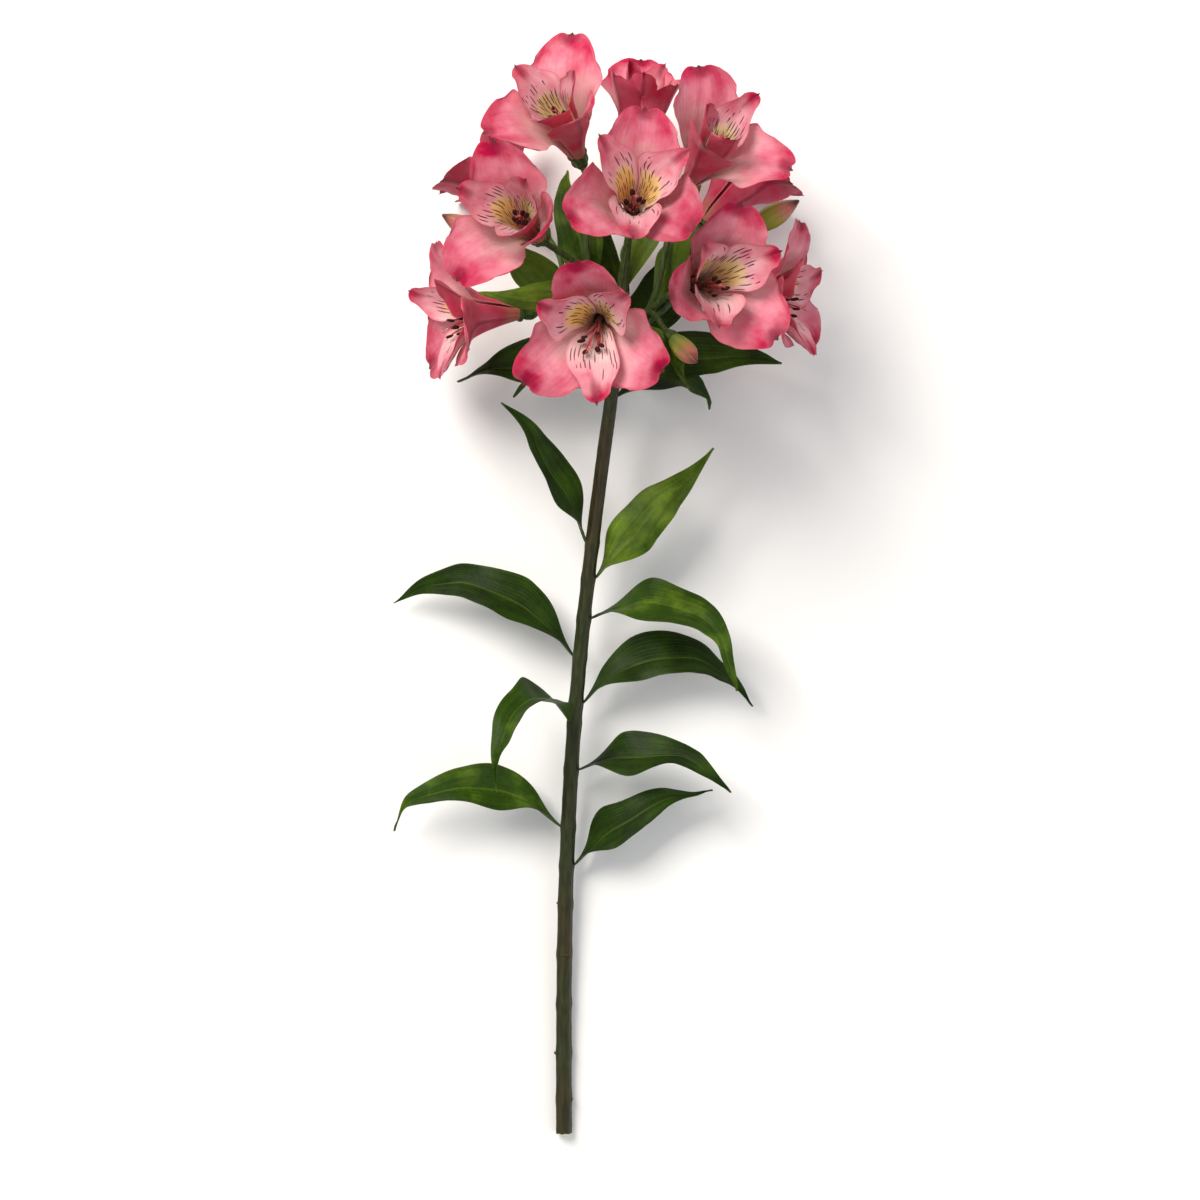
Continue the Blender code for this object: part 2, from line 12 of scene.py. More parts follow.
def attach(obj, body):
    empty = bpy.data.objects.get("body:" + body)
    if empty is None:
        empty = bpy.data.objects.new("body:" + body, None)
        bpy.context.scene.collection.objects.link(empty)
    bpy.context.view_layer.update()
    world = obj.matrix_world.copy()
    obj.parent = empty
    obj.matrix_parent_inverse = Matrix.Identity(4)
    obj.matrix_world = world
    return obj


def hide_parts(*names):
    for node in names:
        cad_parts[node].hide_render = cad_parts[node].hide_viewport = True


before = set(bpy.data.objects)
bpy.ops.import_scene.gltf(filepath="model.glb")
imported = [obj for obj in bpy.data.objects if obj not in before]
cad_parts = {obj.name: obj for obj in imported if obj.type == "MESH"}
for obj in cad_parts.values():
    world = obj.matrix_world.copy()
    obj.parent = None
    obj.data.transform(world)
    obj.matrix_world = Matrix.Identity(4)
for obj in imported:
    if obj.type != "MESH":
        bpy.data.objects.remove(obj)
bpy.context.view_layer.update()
print("frame loaded:", len(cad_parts), "nodes")

mm = 0.001
noise.seed_set(9)   # the same bends in every run
partZero = Vector((3.4414, 7.0522, 0)) * mm   # where the stem's own zero point lies in the frame
lowest = 0.05 * mm   # nothing reaches lower, so that the surface never shows through a piece


# Small helpers

def smooth(low, high, value):
    share = min(1.0, max(0.0, (value - low) / (high - low)))
    return share * share * (3 - 2 * share)


def mix(a, b, share):
    return a + (b - a) * share


def hexColour(text):
    levels = [int(text[start:start + 2], 16) / 255 for start in (1, 3, 5)]
    return (*[v / 12.92 if v <= 0.04045 else ((v + 0.055) / 1.055) ** 2.4 for v in levels], 1)


nodeFamilies = ("ShaderNode", "GeometryNode", "FunctionNode")


# Adds a node with its settings. Its kind goes without the name of its family, and its operation may
# follow the kind. Values fill the live sockets in order, or one dictionary names the sockets. A value is
# a node, a socket, a hex colour or a plain one, and stops fill a colour ramp.
def addNode(tree, kind, *values, stops=(), **settings):
    kind, *operation = kind.split()
    family = next(word for word in nodeFamilies if hasattr(bpy.types, word + kind))
    made = tree.nodes.new(family + kind)
    if operation:
        made.operation = operation[0]
    for name, value in settings.items():
        setattr(made, name, value)
    pairs = list(zip([socket for socket in made.inputs if socket.enabled], values))
    if values and isinstance(values[0], dict):
        pairs = [(made.inputs[name], value) for name, value in values[0].items()]
    for socket, value in pairs:
        if isinstance(value, bpy.types.Node):
            value = next(output for output in value.outputs if output.enabled)
        if isinstance(value, bpy.types.NodeSocket):
            tree.links.new(value, socket)
        else:
            socket.default_value = hexColour(value) if str(value).startswith("#") else value
    if stops:
        points = made.color_ramp.elements
        while len(points) < len(stops):
            points.new(1)
        for point, (place, colour) in zip(points, stops):
            point.position = place
            point.color = hexColour(colour)
    return made


def newTree(name, sockets):
    tree = bpy.data.node_groups.new(name, "GeometryNodeTree")
    tree.interface.new_socket("Geometry", in_out="INPUT", socket_type="NodeSocketGeometry")
    for label, kind, default in sockets:
        socket = tree.interface.new_socket(label, in_out="INPUT", socket_type="NodeSocket" + kind)
        if default is not None:
            socket.default_value = default
    tree.interface.new_socket("Geometry", in_out="OUTPUT", socket_type="NodeSocketGeometry")
    return tree, tree.nodes.new("NodeGroupInput").outputs, tree.nodes.new("NodeGroupOutput")


def newObject(name, data):
    made = bpy.data.objects.new(name, data)
    bpy.context.scene.collection.objects.link(made)
    return made


# Runs a tree on an object and keeps the result as a plain mesh
def grown(source, tree, values):
    modifier = source.modifiers.new(tree.name, "NODES")
    modifier.node_group = tree
    for item in tree.interface.items_tree:
        if item.item_type == "SOCKET" and item.in_out == "INPUT" and item.name in values:
            modifier[item.identifier] = values[item.name]
    graph = bpy.context.evaluated_depsgraph_get()
    mesh = bpy.data.meshes.new_from_object(source.evaluated_get(graph))
    name = source.name
    bpy.data.objects.remove(source)
    return newObject(name, mesh)


# Joins the parts of a piece, names it, puts it on the body and takes the place of its solid
def seated(name, node, parts):
    piece = parts[0]
    if len(parts) > 1:
        with bpy.context.temp_override(active_object=piece, object=piece, selected_objects=parts,
                                       selected_editable_objects=parts):
            bpy.ops.object.join()
    piece.name = name
    piece.data.name = name
    for vertex in piece.data.vertices:
        vertex.co.z = max(vertex.co.z, lowest)
    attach(piece, "root")
    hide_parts(node)


# Camera, light and surface

view = dict(lens=85, place=(0, 0.002, 1.30))
lights = dict(
    key=dict(place=(-0.75, 0.95, 1.45), size=0.9, power=35, colour="#FFF8F0"),
    fill=dict(place=(1.1, -0.3, 1.2), size=1.6, power=6, colour="#F4F8FF"),
)
room = dict(colour="#FFFFFF", strength=0.5, lightsAimAt=(0, 0.05, 0))
board = dict(colour="#F7F7F6", roughness=0.9, shine=0.1, halfWidth=3, drop=0.2 * mm)


def buildStage():
    scene = bpy.context.scene
    scene.view_settings.view_transform = "Standard"
    lens = bpy.data.cameras.new("camera")
    lens.lens = view["lens"]
    scene.camera = newObject("camera", lens)
    scene.camera.location = view["place"]
    for name, light in lights.items():
        lamp = bpy.data.lights.new(name, "AREA")
        lamp.energy = light["power"]
        lamp.size = light["size"]
        lamp.color = hexColour(light["colour"])[:3]
        placed = newObject(name, lamp)
        placed.location = light["place"]
        aim = Vector(room["lightsAimAt"]) - placed.location
        placed.rotation_euler = aim.to_track_quat("-Z", "Y").to_euler()
    scene.world = bpy.data.worlds.new("soft room")
    scene.world.use_nodes = True
    sky = scene.world.node_tree.nodes["Background"].inputs
    sky["Color"].default_value = hexColour(room["colour"])
    sky["Strength"].default_value = room["strength"]
    # Matt painted board: plain, pale and without shine
    paint = bpy.data.materials.new("matt painted board")
    paint.use_nodes = True
    shader = paint.node_tree.nodes["Principled BSDF"].inputs
    shader["Base Color"].default_value = hexColour(board["colour"])
    shader["Roughness"].default_value = board["roughness"]
    shader["Specular IOR Level"].default_value = board["shine"]
    mesh = bpy.data.meshes.new("surface")
    corners = [(x * board["halfWidth"], y * board["halfWidth"], 0)
               for x, y in ((-1, -1), (1, -1), (1, 1), (-1, 1))]
    mesh.from_pydata(corners, [], [(0, 1, 2, 3)])
    mesh.materials.append(paint)
    floor = newObject("surface", mesh)
    floor.location.z = -board["drop"]   # a little under the lowest points of the plant


buildStage()
print("stage set")


# Finishes

soft = dict(interpolation_type="SMOOTHSTEP")   # a Map Range with eased ends: value, from, to, first, last
coloured = dict(data_type="RGBA")   # a Mix of colours: the share, the one below and the one above
noiseSpan = (0.3, 0.7)   # the values that a noise pattern mostly keeps to
ownPattern = 23.0   # how far a blade's tone moves its patterns, so that no two blades have the same


# Shared start of a plant material: its tree, its object coordinates and its own attributes
def plantMaterial(name, *attributes):
    made = bpy.data.materials.new(name)
    made.use_nodes = True
    tree = made.node_tree
    tree.nodes.clear()
    add = partial(addNode, tree)
    place = add("TexCoord").outputs["Object"]
    read = [add("Attribute", attribute_name=found).outputs["Fac"] for found in attributes]
    return made, add, place, read


# Ends a material: a glossy skin, with light passing through thin tissue by the share through
def endMaterial(add, colour, height, look):
    bump = add("Bump", {"Height": height, "Strength": look["bump"], "Distance": 0.3 * mm})
    skin = add("BsdfPrincipled", {
        "Base Color": colour, "Roughness": look["roughness"], "Normal": bump, "IOR": 1.42,
        "Sheen Weight": look.get("sheen", 0.0), "Sheen Roughness": 0.4,
        "Specular IOR Level": look.get("specular", 0.45),
    })
    if look.get("through"):
        lit = add("BsdfTranslucent", {"Color": colour, "Normal": bump})
        skin = add("MixShader", look["through"], skin, lit)
    add("OutputMaterial", {"Surface": skin})


# A cloudy pattern, and the way along the piece drifting with it
def cloudsAlong(add, place, along, look):
    cloud = add("TexNoise", place, 1 / (look["cloud"] * mm), 3.0)
    clouded = add("Math MULTIPLY_ADD", cloud, look["drift"], along)
    return cloud, add("Math SUBTRACT", clouded, look["drift"] / 2)


# Veins: thin lines that run from the foot and spread with the blade, a little uneven
def veinLines(add, across, cloud, look):
    bent = add("Math MULTIPLY_ADD", cloud, look["veinDrift"], across)
    wave = add("Math MULTIPLY", bent, look["veins"] * math.pi)
    wave = add("Math SINE", wave)
    wave = add("Math ABSOLUTE", wave)
    return add("MapRange", wave, 0.0, look["veinWidth"], 1.0, 0.0, **soft)


# Living tepal tissue, satin and thin enough to glow: the colour runs along the blade, with fine veins.
# The inner tepals carry dark red dashes along their veins, and the upper two a yellow blotch. Reaches and
# spans are shares of the blade's length. In dashes stand how many there are across half a blade and along
# it, and half the width and length of one as shares of its room.
tepalSkin = dict(
    cloud=9, grain=0.9, drift=0.36, margin="#F9B4BE", veinDrift=0.10, veinWidth=0.5, tip="#9A1B3C",
    tipShare=0.8, tipEnd=1.5, tipSlim=2.6, point="#5B2A2A", pointShare=0.75, pointEnd=0.12,
    flush="#D8486C", flushShare=0.35, flushSlim=1.3, flushSize=1.3, flushPatch=(0.46, 0.68),
    flushReach=(0.42, 0.86), back="#D95F78", backVein="#982B46", backShare=0.7, backWidth=0.16,
    foot="#B98A62", footShare=0.6, footReach=(0.04, 0.30), depth=(0.93, 1.06), fullness=(0.92, 1.10),
    dashEdge=(0.7, 1.1), dashMargin=0.7, dashDepth=0.92, roughness=0.5, bump=0.3, veinBump=-0.8,
    sheen=0.1, through=0.24, specular=0.3,
)
tepalLooks = dict(
    outer=dict(
        tepalSkin, margin="#FBB0BC", marginShare=0.50, vein="#D35A74", veins=9, veinShare=0.09,
        tip="#96183C", tipReach=7.5, flush="#C93359", flushShare=0.78, back="#D4526C", bump=0.25,
        ground=((0.0, "#C9B98A"), (0.20, "#EFD3BD"), (0.44, "#F6D0CC"), (0.72, "#ED90A3"),
                (1.0, "#C3284E")),
    ),
    upper=dict(
        tepalSkin, marginShare=0.38, vein="#DC6A80", veins=7, veinShare=0.14, tipReach=6.5,
        roughness=0.48,
        ground=((0.0, "#DCC890"), (0.26, "#FBF3D0"), (0.50, "#FCEAE0"), (0.74, "#F4B2BC"),
                (1.0, "#C82E51")),
        blotch="#FFF3B6", blotchWarm="#FFD884", blotchHeart="#E6B25C", blotchPlace=(0.46, 0.25),
        blotchEdge=(1.0, 1.62), blotchWide=0.9, blotchCloud=0.2, fringe=1.1, fringeSlim=7.0, fringeSize=1.6,
        heartReach=(0.22, 0.46), heartShare=0.6,
        dash="#541420", dashes=(6.2, 7.6, 0.18, 0.46), dashSpan=(0.14, 0.30, 0.64, 0.86), dashShare=0.84,
    ),
    lower=dict(
        tepalSkin, marginShare=0.45, vein="#DA6A7E", veins=8, veinShare=0.16, tipReach=6.0,
        ground=((0.0, "#DCC896"), (0.28, "#F5E2D1"), (0.56, "#F5D5D0"), (0.82, "#F0A6B1"),
                (1.0, "#C82E51")),
        dash="#62182A", dashes=(6.0, 6.6, 0.14, 0.48), dashSpan=(0.24, 0.42, 0.68, 0.88), dashShare=0.66,
    ),
)


# A deeper flush, drawn out along the blade in its outer half
def flushPatches(add, across, along, far, look):
    wide = add("Math MULTIPLY", across, look["flushSlim"])
    drawn = add("CombineXYZ", wide, along, far)
    patch = add("TexNoise", drawn, look["flushSize"], 4.0)
    patch = add("MapRange", patch, *look["flushPatch"], **soft)
    outer = add("MapRange", along, *look["flushReach"], 0.0, look["flushShare"], **soft)
    return add("Math MULTIPLY", patch, outer)


# The yellow blotch, golden towards the throat and broken up at its edge: its share and its colour
def yellowBlotch(add, across, along, far, tone, cloud, look):
    centre, reach = look["blotchPlace"]
    away = add("Math SUBTRACT", along, centre)
    away = add("Math DIVIDE", away, reach)
    away = add("Math POWER", away, 2.0)
    wide = add("Math MULTIPLY", across, across)
    fine = add("Math MULTIPLY", across, look["fringeSlim"])
    drawn = add("CombineXYZ", fine, along, far)
    fringe = add("TexNoise", drawn, look["fringeSize"], 3.0)
    for part, weight in ((wide, look["blotchWide"]), (cloud, look["blotchCloud"]), (fringe, look["fringe"])):
        away = add("Math MULTIPLY_ADD", part, weight, away)
    spot = add("MapRange", away, *look["blotchEdge"], 1.0, 0.0, **soft)
    heart = add("MapRange", along, *look["heartReach"], look["heartShare"], 0.0, **soft)
    gold = look["blotch"]
    for share, paint in ((tone, look["blotchWarm"]), (heart, look["blotchHeart"])):
        gold = add("Mix", share, gold, paint, **coloured)
    return spot, gold


# Dashes: spindles about 0.6 mm wide and 6 to 8 mm long, as coarse as they need to be to show
def veinDashes(add, across, along, outwards, tone, look):
    crossways, lengthways, halfWide, halfLong = look["dashes"]
    x = add("Math MULTIPLY", across, crossways)
    y = add("Math MULTIPLY", along, lengthways)
    y = add("Math MULTIPLY_ADD", tone, 37.0, y)
    cells = add("CombineXYZ", x, y)
    dots = add("TexVoronoi", {"Vector": cells, "Scale": 1.0, "Randomness": 0.85}, voronoi_dimensions="2D")
    apart = add("VectorMath SUBTRACT", cells, dots.outputs["Position"])
    apart = add("VectorMath MULTIPLY", apart, (1 / halfWide, 1 / halfLong, 0))
    apart = add("VectorMath LENGTH", apart)
    drawn = add("MapRange", apart, *look["dashEdge"], 1.0, 0.0, **soft)
    lowEnd, low, high, highEnd = look["dashSpan"]
    likely = add("MapRange", along, lowEnd, low, **soft)
    falling = add("MapRange", along, high, highEnd, 1.0, 0.0, **soft)
    inside = add("MapRange", outwards, look["dashMargin"], 1.0, 1.0, 0.2)
    for factor in (falling, look["dashShare"], inside):
        likely = add("Math MULTIPLY", likely, factor)
    dice = add("SeparateColor", dots.outputs["Color"])
    chosen = add("Math GREATER_THAN", likely, dice)
    for factor in (chosen, look["dashDepth"]):
        drawn = add("Math MULTIPLY", drawn, factor)
    return drawn


def tepalMaterial(name, look):
    made, add, place, (across, along, side, tone) = plantMaterial(name, "across", "along", "side", "tone")
    cloud, clouded = cloudsAlong(add, place, along, look)
    outwards = add("Math ABSOLUTE", across)
    edge = add("Math POWER", outwards, 3.0)
    edge = add("Math MULTIPLY", edge, look["marginShare"])
    far = add("Math MULTIPLY", tone, ownPattern)
    vein = veinLines(add, across, cloud, look)
    veinShown = add("Math MULTIPLY", vein, look["veinShare"])
    # The dark point at the tip
    left = add("Math SUBTRACT", 1.0, along)
    left = add("Math MULTIPLY", left, look["tipReach"])
    left = add("Math POWER", left, 2.0)
    beside = add("Math MULTIPLY", across, look["tipSlim"])
    beside = add("Math POWER", beside, 2.0)
    fromTip = add("Math ADD", left, beside)
    tip = add("MapRange", fromTip, 0.0, look["tipEnd"], look["tipShare"], 0.0, **soft)
    point = add("MapRange", fromTip, 0.0, look["pointEnd"], look["pointShare"], 0.0, **soft)
    # The front, from the ground up
    layers = [(edge, look["margin"]), (flushPatches(add, across, along, far, look), look["flush"]),
              (veinShown, look["vein"])]
    if "blotch" in look:
        layers.append(yellowBlotch(add, across, along, far, tone, cloud, look))
    if "dash" in look:
        layers.append((veinDashes(add, across, along, outwards, tone, look), look["dash"]))
    colour = add("ValToRGB", {"Fac": clouded}, stops=look["ground"])
    for share, paint in (*layers, (tip, look["tip"]), (point, look["point"])):
        colour = add("Mix", share, colour, paint, **coloured)
    # The back is deeper, with a dark middle vein and a brown flush at the foot
    middle = add("MapRange", outwards, 0.0, look["backWidth"], look["backShare"], 0.0, **soft)
    foot = add("MapRange", along, *look["footReach"], look["footShare"], 0.0, **soft)
    back = look["back"]
    for share, paint in ((middle, look["backVein"]), (veinShown, look["backVein"]),
                         (foot, look["foot"]), (point, look["point"])):
        back = add("Mix", share, back, paint, **coloured)
    colour = add("Mix", side, back, colour, **coloured)
    # Each tepal has its own depth of pink
    depth = add("MapRange", tone, 0.0, 1.0, *look["depth"])
    fullness = add("MapRange", cloud, *noiseSpan, *look["fullness"])
    colour = add("HueSaturation", {"Color": colour, "Value": depth, "Saturation": fullness})
    grain = add("TexNoise", place, 1 / (look["grain"] * mm), 2.0)
    height = add("Math MULTIPLY_ADD", vein, look["veinBump"], grain)
    endMaterial(add, colour, height, look)
    return made


# Leaf blade with a thin wax: parallel veins and a soft shine. Each leaf's own tone and cloudy patches set
# its
# green: the lighter patches are painted light where light comes through, the darker ones painted shade.
leafLook = dict(
    dark="#152804", mid="#304D07", light="#718E26", vein="#7C9432", under="#4A6420", dry="#8A7A3C",
    cloud=16, grain=1.6, toneShare=0.75, paintedLightSpan=(0.38, 1.15), veins=8, veinDrift=0.05, veinWidth=0.45,
    veinShare=0.10, midribShare=0.20, midribWidth=0.07, streakSlim=(3.2, 1.6), streakSize=1.5,
    streaks=(0.72, 1.28), mottle=(0.88, 1.12), underShare=0.55, dryFrom=0.965, dryShare=0.55,
    roughness=0.46, bump=0.4, veinBump=-0.4, through=0.26, specular=0.22,
)


def leafMaterial(name, look):
    made, add, place, (across, along, side, tone) = plantMaterial(name, "across", "along", "side", "tone")
    cloud = add("TexNoise", place, 1 / (look["cloud"] * mm), 3.0)
    # Partly each leaf's own tone, partly cloudy painted light and painted shade, from dark to light green
    toneAndPaintedLight = add("Math MULTIPLY_ADD", tone, look["toneShare"], cloud)
    toneAndPaintedLight = add("MapRange", toneAndPaintedLight, *look["paintedLightSpan"])
    colour = add("ValToRGB", {"Fac": toneAndPaintedLight}, stops=((0.0, look["dark"]), (0.55, look["mid"]),
                                                    (1.0, look["light"])))
    vein = veinLines(add, across, cloud, look)
    outwards = add("Math ABSOLUTE", across)
    midrib = add("MapRange", outwards, 0.0, look["midribWidth"], 1.0, 0.0, **soft)
    shown = add("Math MULTIPLY", vein, look["veinShare"])
    shown = add("Math MULTIPLY_ADD", midrib, look["midribShare"], shown)
    colour = add("Mix", shown, colour, look["vein"], **coloured)
    # Long soft streaks between the veins, and a fine mottle
    crossways, lengthways = look["streakSlim"]
    wide = add("Math MULTIPLY", across, crossways)
    far = add("Math MULTIPLY", along, lengthways)
    drawn = add("CombineXYZ", wide, far, tone)
    streak = add("TexNoise", drawn, look["streakSize"], 4.0)
    grain = add("TexNoise", place, 1 / (look["grain"] * mm), 2.0)
    for pattern, levels in ((streak, look["streaks"]), (grain, look["mottle"])):
        level = add("MapRange", pattern, *noiseSpan, *levels)
        colour = add("HueSaturation", {"Color": colour, "Value": level})
    # The very tip dries a little
    dry = add("MapRange", along, look["dryFrom"], 1.0, 0.0, look["dryShare"])
    colour = add("Mix", dry, colour, look["dry"], **coloured)
    under = add("Mix", look["underShare"], colour, look["under"], **coloured)
    colour = add("Mix", side, under, colour, **coloured)
    height = add("Math MULTIPLY_ADD", vein, look["veinBump"], grain)
    endMaterial(add, colour, height, look)
    return made


# Stem skin: a firm green rind with fine ribs, browner where the sun reached it, and pale at the cut.
# The ribs carry painted light on their tops and painted shade in their grooves.
stemLook = dict(
    shade="#13190A", green="#2E3A15", brown="#3A2D19", fresh="#445E20", pith="#C9CFA0",
    streak=1.5, stretch=0.16, broad=45, brownFrom=(0.38, 0.66), brownShare=(0.15, 0.85),
    shadeFrom=(0.35, 0.62), shadeShare=0.55, ribLightAndShade=(0.82, 1.14), cutDepth=0.25 * mm, roughness=0.48,
    bump=0.4, specular=0.35,
)


def stemMaterial(name, look):
    made, add, place, (rib, run, youth) = plantMaterial(name, "rib", "run", "youth")
    stretched = add("Mapping", {"Vector": place, "Scale": (1.0, look["stretch"], 1.0)})
    streak = add("TexNoise", stretched, 1 / (look["streak"] * mm), 3.0)
    broad = add("TexNoise", place, 1 / (look["broad"] * mm), 2.0)
    brownness = add("MapRange", broad, *look["brownFrom"], *look["brownShare"], **soft)
    dark = add("MapRange", streak, *look["shadeFrom"], look["shadeShare"], 0.0, **soft)
    colour = look["green"]
    for share, paint in ((brownness, look["brown"]), (youth, look["fresh"]), (dark, look["shade"])):
        colour = add("Mix", share, colour, paint, **coloured)
    # Painted light and shade on the ribs: lighter on their tops, darker in the grooves
    ribLightAndShade = add("MapRange", rib, -1.0, 1.0, *look["ribLightAndShade"])
    colour = add("HueSaturation", {"Color": colour, "Value": ribLightAndShade})
    cut = add("MapRange", run, 0.0, look["cutDepth"], 1.0, 0.0)
    old = add("Math LESS_THAN", youth, 0.01)
    cut = add("Math MULTIPLY", cut, old)
    colour = add("Mix", cut, colour, look["pith"], **coloured)
    endMaterial(add, colour, streak, look)
    return made


# Small parts: filaments with a wet shine, dusty anthers, and dry leaf scars
smallLooks = dict(
    filament=dict(low="#E7B4A6", high="#B2424E", grain=2.0, roughness=0.38, bump=0.15, specular=0.5),
    anther=dict(low="#2E1115", high="#6A3B34", grain=0.45, roughness=0.85, bump=0.9, specular=0.2),
    scar=dict(low="#3A2C18", high="#8A7448", grain=0.8, roughness=0.8, bump=0.6, specular=0.2),
)
smallBlend = dict(grainShare=0.5, span=(0.15, 1.1))   # from low to high along the part, broken up by grain


def smallMaterial(name, look):
    made, add, place, (along,) = plantMaterial(name, "share")
    grain = add("TexNoise", place, 1 / (look["grain"] * mm), 3.0)
    mixed = add("Math MULTIPLY_ADD", grain, smallBlend["grainShare"], along)
    mixed = add("MapRange", mixed, *smallBlend["span"])
    colour = add("Mix", mixed, look["low"], look["high"], **coloured)
    endMaterial(add, colour, grain, look)
    return made


# Closed bud: leathery green tepals that turn pink upwards, with raised ribs and dark tips
budLook = dict(
    ground=((0.05, "#6C8730"), (0.46, "#98953A"), (0.76, "#BC6E62"), (0.97, "#5A2226")), cloud=5,
    drift=0.3, rib="#5F7A2E", ribShare=0.6, roughness=0.45, bump=0.4, specular=0.4,
)


def budMaterial(name, look):
    made, add, place, (rib, along) = plantMaterial(name, "rib", "along")
    cloud, clouded = cloudsAlong(add, place, along, look)
    colour = add("ValToRGB", {"Fac": clouded}, stops=look["ground"])
    raised = add("MapRange", rib, 0.1, 1.0, 0.0, look["ribShare"])
    colour = add("Mix", raised, colour, look["rib"], **coloured)
    endMaterial(add, colour, cloud, look)
    return made


finishes = {name + "Tepal": tepalMaterial(name + " tepal tissue", look) for name, look in tepalLooks.items()}
finishes["leaf"] = leafMaterial("waxy leaf blade", leafLook)
finishes["stem"] = stemMaterial("ribbed green rind", stemLook)
finishes["bud"] = budMaterial("leathery bud skin", budLook)
for smallName, smallLook in smallLooks.items():
    finishes[smallName] = smallMaterial(smallName + " tissue", smallLook)
print("finishes made:", len(finishes))


# Trees that grow the surfaces

# Ends a tree: instances made real, and one material over all
def endTree(add, tree, surface, given, end):
    real = add("RealizeInstances", {"Geometry": surface})
    dressed = add("SetMaterial", {"Geometry": real, "Material": given["Material"]})
    tree.links.new(dressed.outputs[0], end.inputs[0])
    return tree


# Thin blade: a sheet with across, along and rim gets waves at its margin, veins, and a front and a back.
# Spans are shares of the length, and sharper is how fast a form grows towards the margin.
bladeForm = dict(ruffleSpan=(0.25, 0.75), ruffleSharper=2.5, ruffleGain=4.0, midribSlim=9.0,
                 bodySharper=5.0, footSpan=(0.0, 0.03), tipSpan=(1.0, 0.94), weld=0.002 * mm)


def bladeTree():
    tree, given, end = newTree("thinBlade", (
        ("Thickness", "Float", 0.5 * mm), ("Ruffle Height", "Float", 0.8 * mm),
        ("Ruffle Length", "Float", 9 * mm), ("Vein Count", "Float", 9.0), ("Vein Depth", "Float", 0.08 * mm),
        ("Midrib Depth", "Float", 0.3 * mm), ("Seed", "Float", 1.0), ("Material", "Material", None),
    ))
    add = partial(addNode, tree)
    across, along, rim = [add("InputNamedAttribute", {"Name": name}) for name in ("across", "along", "rim")]
    place = add("InputPosition")
    normal = add("InputNormal")
    outwards = add("Math ABSOLUTE", across)
    edge = add("Math POWER", outwards, bladeForm["ruffleSharper"])
    grows = add("MapRange", along, *bladeForm["ruffleSpan"], **soft)
    scale = add("Math DIVIDE", 1.0, given["Ruffle Length"])
    waves = add("TexNoise", place, given["Seed"], scale, 1.0, noise_dimensions="4D")
    ruffle = add("Math SUBTRACT", waves, 0.5)
    for factor in (bladeForm["ruffleGain"], edge, grows, given["Ruffle Height"]):
        ruffle = add("Math MULTIPLY", ruffle, factor)
    turn = given["Vein Count"]
    for factor in (math.pi, across):
        turn = add("Math MULTIPLY", turn, factor)
    veins = add("Math COSINE", turn)
    veins = add("Math MULTIPLY", veins, given["Vein Depth"])
    narrow = add("Math MULTIPLY", across, bladeForm["midribSlim"])
    narrow = add("Math MULTIPLY", narrow, narrow)
    narrow = add("Math MULTIPLY", narrow, -1.0)
    groove = add("Math EXPONENT", narrow)
    groove = add("Math MULTIPLY", groove, given["Midrib Depth"])
    lift = add("Math ADD", ruffle, veins)
    lift = add("Math SUBTRACT", lift, groove)
    offset = add("VectorMath SCALE", normal, lift)
    sheet = add("SetPosition", {"Geometry": given["Geometry"], "Offset": offset})
    # Thick in the middle, nothing at the rim, so that front and back meet there
    body = add("Math POWER", outwards, bladeForm["bodySharper"])
    body = add("Math SUBTRACT", 1.0, body)
    foot = add("MapRange", along, *bladeForm["footSpan"])
    tip = add("MapRange", along, *bladeForm["tipSpan"])
    for factor in (foot, tip):
        body = add("Math MULTIPLY", body, factor)
    half = add("Math MULTIPLY", given["Thickness"], 0.5)
    half = add("Math MULTIPLY", half, body)
    down = add("Math MULTIPLY", half, -1.0)
    sides = []
    for away, shown in ((half, 1.0), (down, 0.0)):
        offset = add("VectorMath SCALE", normal, away)
        moved = add("SetPosition", {"Geometry": sheet, "Offset": offset})
        sides.append(add("StoreNamedAttribute", {"Geometry": moved, "Name": "side", "Value": shown}))
    sides[1] = add("FlipFaces", {"Mesh": sides[1]})
    both = add("JoinGeometry")
    for side in sides:
        tree.links.new(side.outputs[0], both.inputs[0])
    closed = add("MergeByDistance", {"Geometry": both, "Distance": bladeForm["weld"]})
    smoothed = add("SetShadeSmooth", {"Geometry": closed, "Shade Smooth": True})
    onRim = add("Compare GREATER_THAN", rim, 0.99)
    crisp = add("SetShadeSmooth", {"Geometry": smoothed, "Selection": onRim, "Shade Smooth": False},
                domain="EDGE")
    return endTree(add, tree, crisp, given, end)


# Ribbed tube: lines of points with girth and ridge become closed tubes with ribs and a faint roughness
tubeForm = dict(roughSize=7 * mm, sharpEdge=0.9)


